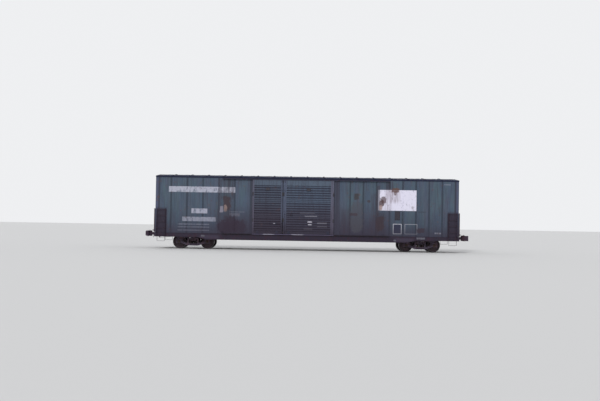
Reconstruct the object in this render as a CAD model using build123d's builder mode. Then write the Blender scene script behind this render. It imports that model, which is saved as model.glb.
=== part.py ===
"""Sixty-foot railroad boxcar with two sliding doors on each side, standing on two four-wheel trucks.

Millimetres. +X runs along the car, +Z is up, and the side with the doors that face the viewer is at -Y.
The origin is the middle of the car, on the floor that the wheel flanges stand on; the rail top is one
flange height above it. Both sides are alike when the car is turned half round about Z, so most pieces
are made once, on the -Y side or at the +X end, and turned. `u` is a distance outwards from the centre
line, so a face at u on the near side is at y = -u.
"""

import os
from math import atan, cos, degrees, pi, radians, sin, tan

from build123d import *

os.makedirs("parts", exist_ok=True)

# Wheels and running level
wheel_radius = 419.0
flange_height = 25.0
rail_top = flange_height
axle_z = wheel_radius + flange_height
wheel_back = 676.0
rim_width = 140.0
tread_slope = 1 / 20
rim_thickness = 44.0
plate_thickness = 28.0
plate_fillet = 20.0
hub_radius = 140.0
hub_inset = 14.0
hub_length = 166.0
wheel_seat_radius = 98.0
axle_body_radius = 80.0
journal_radius = 76.0
journal_offset = 327.0
bearing_length = 180.0
bearing_radius = 110.0
bearing_running_gap = 0.06
end_cap_radius = 92.0
end_cap_length = 26.0

# Trucks
truck_inset = 2310.0
wheelbase = 1727.0
frame_width = 150.0
frame_top = rail_top + 765.0
frame_bottom = rail_top + 172.0
frame_flange = 30.0
frame_pocket = 46.0
frame_bend = 45.0
window_corner = 26.0
jaw_half = bearing_radius + 2.0
jaw_wall = 80.0
jaw_toe = 70.0
jaw_bottom = axle_z - 109.0
adapter_top = axle_z + 145.0
window_half = 255.0
column_width = 86.0
spring_seat_z = rail_top + 275.0
spring_seat_thickness = 20.0
spring_seat_half = 162.0
spring_height = 210.0
spring_radius = 70.0
spring_wire = 12.0
spring_turns = 5
spring_row = 76.0
spring_column = 155.0
bolster_top = rail_top + 665.0
bolster_half = 205.0
bolster_middle_z = rail_top + 400.0
bolster_knee = 70.0
bolster_pocket = 70.0
wedge_width = 110.0
wedge_height = 130.0
wedge_gap = 0.3
bowl_depth = 10.0
bowl_rim = 16.0
bowl_wall = 25.0
bowl_gap = 9.0
side_bearing_y = 635.0
side_bearing_top = bolster_top + 26.0
shoe_gap = 10.0
shoe_thickness = 45.0
shoe_width = 86.0
shoe_span = 36.0
beam_drop = 64.0
beam_depth = 44.0
beam_bar = 56.0
beam_reach = 135.0
beam_guide = 20.0
beam_gap = 0.3
brake_lever_width = 56.0
brake_lever_thickness = 25.0
brake_lever_lean = 46.0
brake_lever_foot = 76.0
brake_lever_drop = 10.0
bottom_rod_radius = 16.0

# Car body
body_half = 9360.0
end_wall = 102.0
corner_return = 220.0
corner_radius = 60.0
outer_half = 1500.0
side_wall = 98.0
floor_top = rail_top + 1118.0
floor_thickness = 60.0
wall_bottom = rail_top + 957.0
eave_z = rail_top + 4420.0
ridge_rise = 155.0
roof_thickness = 45.0
roof_overhang = 22.0
roof_lip = 40.0
roof_bays = 18
cap_width = 90.0
cap_height = 28.0
batten_width = 64.0
batten_proud = 8.0
short_side_pitch = 980.0
long_side_pitch = 812.5
near_post = 190.0
far_post = 430.0

# Doorway and doors; the wide door is nearly central, and the narrow one is on its left
wide_opening = 3048.0
narrow_opening = 1829.0
wide_centre = 46.0
header_depth = 252.0
door_standoff = 20.0
door_skin = 26.0
door_clearance = 38.0
door_drop = 70.0
door_gap = 30.0
wide_door_left_lap = -2.0
wide_door_lap = 70.0
narrow_door_lap = 70.0
wide_stile = 200.0
narrow_stile = 110.0
stile_proud = 32.0
rail_proud = 24.0
top_rail = 385.0
bottom_rail = 65.0
door_sheets = 3
ribs_per_sheet = 6
rib_proud = 30.0
rib_crest = 0.36
rib_flank = 0.16
sheet_band = 68.0
roller_radius = 35.0
roller_width = 18.0
roller_inset = 350.0
lock_rod_radius = 13.0
handle_reach = 460.0
card_width = 230.0
card_height = 170.0
card_drop = 520.0
pull_z = rail_top + 1590.0
pull_height = 200.0
pull_radius = 9.0
track_reach = 104.0
track_plate = 10.0
track_lip = 60.0
track_drop = 50.0
track_overrun = (94.0, 442.0)
lower_rail_height = 16.0
gusset_pitch = 609.6
gusset_inset = 60.0
gusset_thickness = 8.0
stop_gap = 8.0
stop_thickness = 14.0
board_offset = 510.0
rolling_gap = 0.3

# Underframe
sill_height = 246.0
sill_drop = 141.0
sill_web = 12.0
sill_recess = 12.0
sill_flange = 76.0
sill_break_offset = 350.0
sill_break_run = 600.0
centre_sill_half = 163.0
centre_sill_wall = 16.0
centre_sill_depth = 330.0
centre_sill_flange = 200.0
end_sill_proud = 40.0
stringer_height = 76.0
stringer_width = 46.0
stringer_rows = (560.0, 980.0)
crossbearer_pitch = 1650.0
crossbearer_keep_off = 1400.0
crossbearer_web = 12.0
crossbearer_flange = 100.0
crosstie_offset = (-1100.0, 1200.0)
crosstie_depth = 60.0
body_bolster_half = 165.0
bolster_wing_z = (rail_top + 875.0, rail_top + 815.0)
bolster_plate = 20.0
centre_plate_radius = 178.0
pad_height = 20.0
pad_length = 300.0
pull_rod_y = (155.0, 95.0)
pull_rod_radius = 14.0
pull_rod_inset = 420.0
adjuster_radius = 30.0
rod_guide_x = 3400.0

# Couplers
coupler_z = rail_top + 876.0
coupler_reach = 760.0
horn = 320.0
pivot_inset = 460.0
shank_half = 65.0
shank_half_height = 82.0
striker_depth = 160.0
striker_half = 150.0
striker_flange = 50.0
gear_gap = 250.0
gear_length = 500.0
gear_half_height = 118.0
knuckle_pin = (-95.0, 120.0)
knuckle_half_height = 125.0
head_half_height = 165.0
knuckle_pin_radius = 20.5
knuckle_gap = 3.0

# Ladders, steps and platforms
stile_depth = 68.0
stile_thick = 10.0
rung_radius = 10.0
rung_count = 5
rung_pitch = 380.0
rung_first = rail_top + 860.0
ladder_overrun = 60.0
side_ladder_inset = (640.0, 100.0)
end_ladder_inset = (460.0, 50.0)
step_inset = (620.0, 140.0)
step_tread = rail_top + 450.0
step_bar = 12.0
step_width = 50.0
step_drop = 77.0
bead_pitch = 205.0
bead_first = rail_top + 1165.0
bead_headroom = 300.0
bead_height = 120.0
bead_margin = 500.0
bead_proud = 48.0

# Sizes that follow from those above
hub_inner_face = wheel_back - hub_inset
journal_centre = wheel_back + journal_offset
inside_half = body_half - end_wall
truck_centre = body_half - truck_inset
end_sill_face = body_half + end_sill_proud
pulling_face = body_half + coupler_reach
coupler_pivot = body_half - pivot_inset
striker_face = end_sill_face + striker_depth
door_face = outer_half + door_standoff
door_bottom = wall_bottom + door_clearance
door_top = eave_z - door_drop
track_top = eave_z - track_drop
track_bottom = track_top - track_lip
lower_rail_z = wall_bottom + lower_rail_height
inner_half = outer_half - side_wall
floor_bottom = floor_top - floor_thickness
opening_top = eave_z - header_depth
opening_right = wide_centre + wide_opening / 2
opening_left = opening_right - wide_opening - narrow_opening
track_left = opening_left - narrow_opening - track_overrun[0]
track_right = opening_right + wide_opening + track_overrun[1]
sill_shallow = wall_bottom - sill_height
sill_deep = sill_shallow - sill_drop
sill_break_outer = truck_centre - sill_break_offset
sill_break_inner = sill_break_outer - sill_break_run
sill_outer = outer_half - sill_recess
sill_inner = sill_outer - sill_web
centre_sill_bottom = floor_bottom - centre_sill_depth
stringer_bottom = floor_bottom - stringer_height
crosstie_x = tuple(truck_centre + offset for offset in crosstie_offset)
rod_reach = truck_centre - pull_rod_inset
wide_door = (wide_centre - wide_opening / 2 + wide_door_left_lap, opening_right + wide_door_lap)
narrow_door = (opening_left - narrow_door_lap, wide_door[0] - door_gap)
wide_travel, narrow_travel = wide_opening + 2.0, narrow_opening + 1.0
rib_faces = door_face + door_skin
roller_u = door_face + 32.0
beam_centre = wheelbase / 2 - (wheel_radius + shoe_gap + shoe_thickness + beam_bar / 2 - 8)
beam_z = axle_z - beam_drop
side_ladder = tuple(body_half - inset for inset in side_ladder_inset)
end_ladder = tuple(outer_half - inset for inset in end_ladder_inset)
step_x = tuple(body_half - inset for inset in step_inset)
step_top = wall_bottom - step_drop
bead_length = 2 * (outer_half - bead_margin)
bead_rows = int((eave_z - bead_headroom - bead_first) / bead_pitch) + 1


def block(x, y, z, mode=Mode.ADD):
    """A bar between two limits on each axis, in the part that is being built."""
    with Locations(((x[0] + x[1]) / 2, (y[0] + y[1]) / 2, (z[0] + z[1]) / 2)):
        Box(x[1] - x[0], y[1] - y[0], z[1] - z[0], mode=mode)


def plate(plane, points, amount, mode=Mode.ADD, both=False, taper=0.0):
    """A closed outline on a plane, extruded."""
    with BuildSketch(plane) as outline:
        with BuildLine():
            Polyline(*points, close=True)
        make_face()
    extrude(outline.sketch, amount=amount, both=both, taper=taper, mode=mode)


def rod(start, end, radius, mode=Mode.ADD):
    """A round bar from one point to another."""
    axis = Vector(*end) - Vector(*start)
    with BuildSketch(Plane(origin=start, z_dir=axis)) as section:
        Circle(radius)
    extrude(section.sketch, amount=axis.length, mode=mode)


def save(builder, name):
    """Writes one node."""
    builder.part.label = name
    export_step(builder.part, f"parts/{name}.step")


def turned(part):
    """The same piece on the other side or at the other end of the car."""
    return part.rotate(Axis.Z, 180)


# Side walls: one long and one short section on each side, with a raised seam batten at each post
with BuildPart() as side_walls:
    return_x = body_half - corner_return
    for start, end in ((-return_x, opening_left), (opening_right, return_x)):
        block((start, end), (-outer_half, -inner_half), (wall_bottom, eave_z))
    post_edges = (opening_left - near_post, opening_right + far_post)
    short_seams = int((return_x + post_edges[0]) / short_side_pitch)
    long_seams = int((return_x - post_edges[1]) / long_side_pitch)
    seams = [post_edges[0] - short_side_pitch * (i + 1) for i in range(short_seams)]
    seams += [return_x - long_side_pitch * (i + 1) for i in range(long_seams)]
    strips = [(x - batten_width / 2, x + batten_width / 2) for x in seams]
    strips += [(post_edges[0], opening_left), (opening_right, post_edges[1])]
    with BuildSketch(Plane.XZ.offset(outer_half)):
        for start, end in strips:
            under_track = track_left < end and start < track_right
            strip_top = track_bottom if under_track else eave_z - roof_lip
            strip_bottom = wall_bottom + batten_proud
            with Locations(((start + end) / 2, (strip_bottom + strip_top) / 2)):
                Rectangle(end - start, strip_top - strip_bottom)
    extrude(amount=batten_proud, taper=30)
    add(turned(side_walls.part))
save(side_walls, "side_walls")

# Door headers, over each doorway
with BuildPart() as door_headers:
    block((opening_left, opening_right), (-outer_half, -inner_half), (opening_top, eave_z))
    add(turned(door_headers.part))
save(door_headers, "door_headers")

# Placard boards, one on each side, beyond the open door
with BuildPart() as placard_boards:
    board_x, board_z = track_right + board_offset, rail_top + 2230.0
    board_width, board_height, board_thickness = 300.0, 530.0, 20.0
    with BuildSketch(Plane.XZ.offset(outer_half)):
        with Locations((board_x, board_z)):
            Rectangle(board_width, board_height)
    extrude(amount=board_thickness)
    chamfer(placard_boards.faces().sort_by(Axis.Y)[0].edges(), 5)
    add(turned(placard_boards.part))
save(placard_boards, "placard_boards")

# Corrugated end walls, wrapped round the corners
with BuildPart() as end_walls:
    gable = [
        (-outer_half, wall_bottom),
        (outer_half, wall_bottom),
        (outer_half, eave_z),
        (inner_half, eave_z),
        (0, eave_z + ridge_rise),
        (-inner_half, eave_z),
        (-outer_half, eave_z),
    ]
    plate(Plane.YZ.offset(inside_half), gable, end_wall)
    for side in (-1, 1):
        edges = sorted((side * inner_half, side * outer_half))
        block((return_x, inside_half), edges, (wall_bottom, eave_z))
    notch_y = (-centre_sill_half, centre_sill_half)
    block((inside_half, body_half), notch_y, (wall_bottom, floor_bottom), mode=Mode.SUBTRACT)
    outer_edges = end_walls.edges().filter_by(Axis.Z).filter_by(lambda e: abs(e.center().Y) > inner_half)
    outer_edges = outer_edges.group_by(Axis.X)[-1]
    fillet(outer_edges, corner_radius)
    with BuildSketch(Plane.YZ.offset(body_half)):
        with Locations(*[(0, bead_first + bead_pitch * i) for i in range(bead_rows)]):
            SlotOverall(bead_length, bead_height)
    extrude(amount=bead_proud, taper=35)
    add(turned(end_walls.part))
save(end_walls, "end_walls")

# Roof: a low gable with diagonal panels between raised seam caps
with BuildPart() as roof:
    eave_y = outer_half + roof_overhang
    lip_y = outer_half + 2
    roof_top_eave = eave_z + roof_thickness - 2
    ridge_top = eave_z + ridge_rise + roof_thickness
    section = [(eave_y, eave_z - roof_lip), (eave_y, roof_top_eave), (0, ridge_top)]
    section += [(-y, z) for y, z in reversed(section[:2])]
    section += [(-lip_y, eave_z - roof_lip), (-lip_y, eave_z), (-inner_half, eave_z)]
    section += [(0, eave_z + ridge_rise), (inner_half, eave_z), (lip_y, eave_z), (lip_y, eave_z - roof_lip)]
    plate(Plane.YZ.offset(-body_half), section, 2 * body_half)
    bay = 2 * body_half / roof_bays
    cap = [(eave_y + 8, eave_z - 10), (eave_y + 8, roof_top_eave + cap_height), (0, ridge_top + cap_height)]
    cap += [(-y, z) for y, z in reversed(cap[:2])]
    cap += [(-eave_y, eave_z - 10), (-eave_y, roof_top_eave - 8), (0, ridge_top - 8)]
    cap += [(eave_y, roof_top_eave - 8), (eave_y, eave_z - 10)]
    for i in range(1, roof_bays):
        plate(Plane.YZ.offset(-body_half + bay * i - cap_width / 2), cap, cap_width)
    slope = atan((ridge_top - roof_top_eave) / eave_y)
    panel_half_run, panel_half_width, panel_lean = 590.0, 130.0, 230.0
    for side in (-1, 1):
        middle = (0, side * eave_y / 2, (ridge_top + roof_top_eave) / 2)
        lay = Plane(origin=middle, x_dir=(1, 0, 0), z_dir=(0, side * sin(slope), cos(slope)))
        with BuildSketch(lay):
            for i in range(roof_bays):
                x = -body_half + bay * (i + 0.5)
                with BuildLine():
                    Polyline(
                        (x - panel_lean - panel_half_width, -panel_half_run),
                        (x - panel_lean + panel_half_width, -panel_half_run),
                        (x + panel_lean + panel_half_width, panel_half_run),
                        (x + panel_lean - panel_half_width, panel_half_run),
                        close=True,
                    )
                make_face()
        extrude(amount=14, taper=30)
save(roof, "roof")

# Floor, stepped out to the thresholds
with BuildPart() as floor:
    with BuildSketch(Plane.XY.offset(floor_bottom)):
        Rectangle(2 * inside_half, 2 * inner_half)
        for side in (-1, 1):
            with Locations((-side * (opening_left + opening_right) / 2, side * (inner_half + side_wall / 2))):
                Rectangle(opening_right - opening_left, side_wall)
    extrude(amount=floor_thickness)
save(floor, "floor")

# Side sills: shallow over the trucks and deep between them, with a jacking pad at each bolster
with BuildPart() as side_sills:
    sill_end = end_sill_face
    lower_edge = [
        (-sill_end, sill_shallow),
        (-sill_break_outer, sill_shallow),
        (-sill_break_inner, sill_deep),
        (sill_break_inner, sill_deep),
        (sill_break_outer, sill_shallow),
        (sill_end, sill_shallow),
    ]
    upper_edge = [
        (sill_end, wall_bottom),
        (opening_right, wall_bottom),
        (opening_right, floor_bottom),
        (opening_left, floor_bottom),
        (opening_left, wall_bottom),
        (-sill_end, wall_bottom),
    ]
    plate(Plane.XZ.offset(sill_inner), lower_edge + upper_edge, sill_web)
    flange_end = inside_half
    flange_lower = [(-flange_end, sill_shallow)] + lower_edge[1:5] + [(flange_end, sill_shallow)]
    flange_upper = [(x, z + sill_web) for x, z in reversed(flange_lower)]
    plate(Plane.XZ.offset(sill_inner - sill_flange), flange_lower + flange_upper, sill_flange)
    for x in (-truck_centre, truck_centre):
        pad_x = (x - pad_length / 2, x + pad_length / 2)
        block(pad_x, (-sill_outer, sill_flange - sill_inner), (sill_shallow - pad_height, sill_shallow))
    add(turned(side_sills.part))
save(side_sills, "side_sills")

# Brake pipe, which crosses from one side of the centre sill to the other under the middle of the car
pipe_radius = 21.0
pipe_y = 300.0
pipe_z = rail_top + 875.0
pipe_cross = 900.0
pipe_end = end_sill_face + 70.0


def pipe_run(radius):
    """The brake pipe's solid at a given radius, on its own route."""
    with BuildPart() as run:
        with BuildLine():
            route = FilletPolyline(
                (-pipe_end, pipe_y, pipe_z),
                (-pipe_cross, pipe_y, pipe_z),
                (pipe_cross, -pipe_y, pipe_z),
                (pipe_end, -pipe_y, pipe_z),
                radius=400,
            )
        with BuildSketch(Plane(origin=route @ 0, z_dir=route % 0)):
            Circle(radius)
        sweep()
    return run.part


# Centre sill: an open-bottomed hat section, let through by the brake pipe
with BuildPart() as centre_sill:
    hat = [
        (centre_sill_half, floor_bottom),
        (centre_sill_half, centre_sill_bottom + centre_sill_wall),
        (centre_sill_flange, centre_sill_bottom + centre_sill_wall),
        (centre_sill_flange, centre_sill_bottom),
        (centre_sill_half - centre_sill_wall, centre_sill_bottom),
        (centre_sill_half - centre_sill_wall, floor_bottom - centre_sill_wall),
    ]
    hat += [(-y, z) for y, z in reversed(hat)]
    sill_half_length = end_sill_face - sill_web
    plate(Plane.YZ.offset(-sill_half_length), hat, 2 * sill_half_length)
    add(pipe_run(pipe_radius + 6), mode=Mode.SUBTRACT)
save(centre_sill, "centre_sill")

# Floor stringers
with BuildPart() as floor_stringers:
    spans = (
        (-return_x, -truck_centre - body_bolster_half),
        (-truck_centre + body_bolster_half, truck_centre - body_bolster_half),
        (truck_centre + body_bolster_half, return_x),
    )
    for row in stringer_rows:
        for side in (-1, 1):
            for start, end in spans:
                channel = [
                    (side * row - stringer_width / 2, floor_bottom),
                    (side * row - stringer_width / 2, stringer_bottom),
                    (side * row + stringer_width / 2, stringer_bottom),
                    (side * row + stringer_width / 2, stringer_bottom + 8),
                    (side * row - stringer_width / 2 + 8, stringer_bottom + 8),
                    (side * row - stringer_width / 2 + 8, floor_bottom - 8),
                    (side * row + stringer_width / 2, floor_bottom - 8),
                    (side * row + stringer_width / 2, floor_bottom),
                ]
                plate(Plane.YZ.offset(start), channel, end - start)
save(floor_stringers, "floor_stringers")

# Crossbearers with flanged lower edges between the sills, and shallow crossties over the wheels
with BuildPart() as crossbearers:
    bearer_inner_z = centre_sill_bottom + centre_sill_wall
    bearer_outer_z = rail_top + 775.0
    web = [
        (-centre_sill_half, stringer_bottom),
        (-inner_half, stringer_bottom),
        (-inner_half, wall_bottom),
        (-sill_inner, wall_bottom),
        (-sill_inner, bearer_outer_z),
        (-centre_sill_flange, bearer_inner_z),
        (-centre_sill_half, bearer_inner_z),
    ]
    lower_flange = [
        (-sill_inner, bearer_outer_z),
        (-centre_sill_flange, bearer_inner_z),
        (-centre_sill_flange, bearer_inner_z + crossbearer_web),
        (-sill_inner, bearer_outer_z + crossbearer_web),
    ]
    crossbearers_each_way = int((truck_centre - crossbearer_keep_off) / crossbearer_pitch)
    for i in range(-crossbearers_each_way, crossbearers_each_way + 1):
        x = crossbearer_pitch * i
        plate(Plane.YZ.offset(x - crossbearer_web / 2), web, crossbearer_web)
        plate(Plane.YZ.offset(x - crossbearer_flange / 2), lower_flange, crossbearer_flange)
    for tie in crosstie_x:
        for x in (-tie, tie):
            tie_z = (stringer_bottom - crosstie_depth, stringer_bottom)
            block((x - 40, x + 40), (-inner_half, -centre_sill_half), tie_z)
    add(turned(crossbearers.part))
    add(pipe_run(pipe_radius + rolling_gap), mode=Mode.SUBTRACT)
save(crossbearers, "crossbearers")

# Body bolsters with their centre plates and side bearing pads
plate_bottom = bolster_top - bowl_depth + rolling_gap
with BuildPart() as body_bolsters:
    knee_in, knee_out = journal_centre - 243, journal_centre - 143
    for side in (-1, 1):
        wing = [
            (side * centre_sill_half, floor_bottom),
            (side * inner_half, floor_bottom),
            (side * inner_half, wall_bottom),
            (side * sill_inner, wall_bottom),
            (side * sill_inner, bolster_wing_z[0]),
            (side * knee_out, bolster_wing_z[1]),
            (side * knee_in, centre_sill_bottom),
            (side * centre_sill_flange, centre_sill_bottom),
            (side * centre_sill_flange, centre_sill_bottom + centre_sill_wall),
            (side * centre_sill_half, centre_sill_bottom + centre_sill_wall),
        ]
        plate(Plane.YZ.offset(truck_centre - body_bolster_half), wing, 2 * body_bolster_half)
        block(
            (truck_centre - 100, truck_centre + 100),
            sorted((side * (side_bearing_y - 70), side * (side_bearing_y + 70))),
            (side_bearing_top + 6, centre_sill_bottom),
        )
    block(
        (truck_centre - body_bolster_half, truck_centre + body_bolster_half),
        (-knee_in, knee_in),
        (centre_sill_bottom - bolster_plate, centre_sill_bottom),
    )
    with BuildSketch(Plane.XY.offset(plate_bottom)):
        with Locations((truck_centre, 0)):
            Circle(centre_plate_radius)
    extrude(amount=centre_sill_bottom - bolster_plate - plate_bottom)
    add(turned(body_bolsters.part))
    add(pipe_run(pipe_radius + rolling_gap), mode=Mode.SUBTRACT)
save(body_bolsters, "body_bolsters")

# End sills, with the brackets that carry the uncoupling levers
lever_x, lever_z, lever_radius = end_sill_face + 50.0, rail_top + 915.0, 12.0
lever_start, lever_inset, lever_throw, lever_handle = 245.0, 60.0, 190.0, 260.0
lever_brackets = (520.0, outer_half - 200.0)
with BuildPart() as end_sills:
    for side in (-1, 1):
        channel = [
            (end_sill_face, sill_shallow),
            (end_sill_face, wall_bottom),
            (inside_half, wall_bottom),
            (inside_half, wall_bottom - sill_web),
            (end_sill_face - sill_web, wall_bottom - sill_web),
            (end_sill_face - sill_web, sill_shallow + sill_web),
            (inside_half, sill_shallow + sill_web),
            (inside_half, sill_shallow),
        ]
        start = -centre_sill_flange if side < 0 else sill_inner
        plate(Plane.XZ.offset(-start), channel, sill_inner - centre_sill_flange)
    for y in lever_brackets:
        block((end_sill_face, lever_x + 26), (y - 5, y + 5), (lever_z - 26, lever_z + 26))
        bearing = ((lever_x, y - 6, lever_z), (lever_x, y + 6, lever_z))
        rod(*bearing, lever_radius + rolling_gap, mode=Mode.SUBTRACT)
    add(turned(end_sills.part))
    add(pipe_run(pipe_radius + rolling_gap), mode=Mode.SUBTRACT)
save(end_sills, "end_sills")

# Strikers, with the carrier iron that the coupler shank rides on
with BuildPart() as strikers:
    striker_back = end_sill_face - sill_web
    carrier_top = coupler_z - shank_half_height - rolling_gap
    throat_top = coupler_z + shank_half_height + 16
    with BuildSketch(Plane.YZ.offset(striker_back)):
        with Locations((0, (carrier_top + throat_top) / 2)):
            RectangleRounded(2 * centre_sill_flange, throat_top - carrier_top + 96, 30)
    extrude(amount=striker_face - striker_back)
    flange_y = (-centre_sill_flange - striker_flange, centre_sill_flange + striker_flange)
    block((end_sill_face, end_sill_face + 14), flange_y, (carrier_top - 40, throat_top + 40))
    throat_x = (striker_back, striker_face)
    block(throat_x, (-striker_half, striker_half), (carrier_top, throat_top), mode=Mode.SUBTRACT)
    fillet(strikers.faces().sort_by(Axis.X)[-1].edges(), 8)
    add(turned(strikers.part))
save(strikers, "strikers")

# Draft gears: a block between the sill webs, with the yoke and the pin that the coupler turns on
yoke_inner = shank_half_height + 8
yoke_outer = yoke_inner + 25
with BuildPart() as draft_gears:
    gear_half = centre_sill_half - centre_sill_wall - rolling_gap
    gear_x = (coupler_pivot - gear_gap - gear_length, coupler_pivot - gear_gap)
    block(gear_x, (-gear_half, gear_half), (coupler_z - gear_half_height, coupler_z + gear_half_height))
    for side in (-1, 1):
        strap = sorted((coupler_z + side * yoke_inner, coupler_z + side * yoke_outer))
        with BuildSketch(Plane.XY.offset(strap[0])):
            with Locations((coupler_pivot - 100, 0)):
                SlotOverall(400, 120)
        extrude(amount=strap[1] - strap[0])
    rod(
        (coupler_pivot, 0, coupler_z - yoke_outer),
        (coupler_pivot, 0, coupler_z + yoke_outer),
        41,
    )
    add(turned(draft_gears.part))
save(draft_gears, "draft_gears")

# Couplers: a shank, and a head with a guard arm and two lugs that hold the knuckle's pin
head_plan = [
    (-horn, -120),
    (-230, -150),
    (-120, -182),
    (20, -212),
    (92, -236),
    (106, -204),
    (58, -150),
    (0, -112),
    (-84, -92),
    (-104, 40),
    (-60, 62),
    (-20, 150),
    (-50, 192),
    (-130, 206),
    (-230, 168),
    (-horn, 120),
]
knuckle_plan = [
    (-50, 72),
    (-8, 58),
    (0, 40),
    (0, -32),
    (22, -52),
    (58, -46),
    (78, 0),
    (80, 84),
    (60, 158),
    (10, 190),
    (-50, 184),
]


def coupler_builder():
    """The +X coupler without its knuckle."""
    with BuildPart() as made:
        pin_x, pin_y = pulling_face + knuckle_pin[0], knuckle_pin[1]
        plan = [(pulling_face + x, y) for x, y in head_plan]
        plate(Plane.XY.offset(coupler_z), plan, head_half_height, both=True)
        vertical = made.edges().filter_by(Axis.Z)
        fillet(vertical.group_by(Axis.X)[-1] + vertical.group_by(Axis.X)[-2], 12)
        with BuildSketch(Plane.XY.offset(coupler_z)) as lug:
            with Locations((pin_x, pin_y)):
                Circle(80)
        extrude(lug.sketch, amount=head_half_height, both=True)
        with BuildSketch(Plane.XY.offset(coupler_z)) as pocket:
            with Locations((pin_x, pin_y)):
                Circle(150)
        extrude(pocket.sketch, amount=knuckle_half_height + knuckle_gap, both=True, mode=Mode.SUBTRACT)
        back = pulling_face - horn + 20
        shank_z = (coupler_z - shank_half_height, coupler_z + shank_half_height)
        block((coupler_pivot, back), (-shank_half, shank_half), shank_z)
        rod((coupler_pivot, 0, shank_z[0]), (coupler_pivot, 0, shank_z[1]), shank_half)
        rod((coupler_pivot, 0, coupler_z - 100), (coupler_pivot, 0, coupler_z + 100), 42, mode=Mode.SUBTRACT)
        pin_half = head_half_height + 12
        rod((pin_x, pin_y, coupler_z - pin_half), (pin_x, pin_y, coupler_z + pin_half), knuckle_pin_radius)
    return made


def knuckle_builder():
    """The +X knuckle, shut, with its short tail inside the head."""
    with BuildPart() as made:
        pin_x, pin_y = pulling_face + knuckle_pin[0], knuckle_pin[1]
        plan = [(pulling_face + x, y) for x, y in knuckle_plan]
        plate(Plane.XY.offset(coupler_z), plan, knuckle_half_height, both=True)
        outer = made.edges().filter_by(Axis.Z).sort_by(Axis.X)[-4:]
        fillet(outer, 14)
        knuckle_z = (coupler_z - knuckle_half_height, coupler_z + knuckle_half_height)
        rod((pin_x, pin_y, knuckle_z[0]), (pin_x, pin_y, knuckle_z[1]), 66)
        tail = [(-50, 20), (-128, -30), (-104, -84), (-10, -60)]
        tail = [(pin_x + x, pin_y + y) for x, y in tail]
        plate(Plane.XY.offset(coupler_z), tail, knuckle_half_height - 25, both=True)
        rod(
            (pin_x, pin_y, knuckle_z[0] - 1),
            (pin_x, pin_y, knuckle_z[1] + 1),
            knuckle_pin_radius + 1,
            mode=Mode.SUBTRACT,
        )
    return made


for end, name in ((1, "a"), (-1, "b")):
    for make, node in ((coupler_builder, "coupler"), (knuckle_builder, "knuckle")):
        with BuildPart() as placed:
            made = make().part
            add(made if end > 0 else turned(made))
        save(placed, f"{node}_{name}")

# Uncoupling levers, from beside each coupler to the corner of the car
with BuildPart() as uncoupling_levers:
    with BuildLine():
        lever = FilletPolyline(
            (lever_x + lever_throw, lever_start, lever_z),
            (lever_x, lever_start, lever_z),
            (lever_x, outer_half - lever_inset, lever_z),
            (lever_x, outer_half - lever_inset, lever_z - lever_handle),
            radius=40,
        )
    with BuildSketch(Plane(origin=lever @ 0, z_dir=lever % 0)):
        Circle(lever_radius)
    sweep()
    add(turned(uncoupling_levers.part))
save(uncoupling_levers, "uncoupling_levers")

# Brake pipe with an angle cock at each end
with BuildPart() as brake_pipe:
    add(pipe_run(pipe_radius))
    for end in (-1, 1):
        tip = (end * pipe_end, -end * pipe_y, pipe_z)
        elbow = (end * (pipe_end + 60), -end * pipe_y, pipe_z - 10)
        mouth = (end * (pipe_end + 110), -end * (pipe_y + 40), pipe_z - 80)
        rod(tip, elbow, 34)
        rod(elbow, mouth, 27)
        with Locations(elbow):
            Sphere(38)
        rod(elbow, (elbow[0], elbow[1], elbow[2] + 62), 14)
        block(
            sorted((elbow[0], elbow[0] - end * 110)),
            (elbow[1] - 10, elbow[1] + 10),
            (elbow[2] + 52, elbow[2] + 62),
        )
save(brake_pipe, "brake_pipe")

# Air reservoir, slung from the stringers on two saddles
hanger_y = (stringer_rows[0] + stringer_rows[1]) / 2
with BuildPart() as air_reservoir:
    tank_x, tank_z, tank_radius, tank_length = -2480.0, rail_top + 800.0, 175.0, 900.0
    rod((tank_x - tank_length / 2, hanger_y, tank_z), (tank_x + tank_length / 2, hanger_y, tank_z), tank_radius)
    fillet(air_reservoir.edges().filter_by(GeomType.CIRCLE), 60)
    rod((tank_x - 12, hanger_y, tank_z), (tank_x + 12, hanger_y, tank_z), tank_radius + 22)
    for x in (tank_x - 280, tank_x + 280):
        block((x - 20, x + 20), (stringer_rows[0] - 20, stringer_rows[1] + 20), (tank_z + 60, stringer_bottom))
save(air_reservoir, "air_reservoir")

# Control valve on its bracket
with BuildPart() as control_valve:
    valve_x, valve_z = -870.0, rail_top + 760.0
    bracket_y = (stringer_rows[0] - 20, stringer_rows[1] + 20)
    block((valve_x - 60, valve_x + 60), bracket_y, (valve_z + 60, stringer_bottom))
    block((valve_x - 90, valve_x + 90), (hanger_y - 110, hanger_y + 110), (valve_z - 90, valve_z + 120))
    for side in (-1, 1):
        rod((valve_x, hanger_y + side * 100, valve_z), (valve_x, hanger_y + side * 190, valve_z), 78)
        rod((valve_x, hanger_y + side * 180, valve_z), (valve_x, hanger_y + side * 205, valve_z), 96)
    rod((valve_x, hanger_y, valve_z - 150), (valve_x, hanger_y, valve_z - 80), 45)
save(control_valve, "control_valve")

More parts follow.
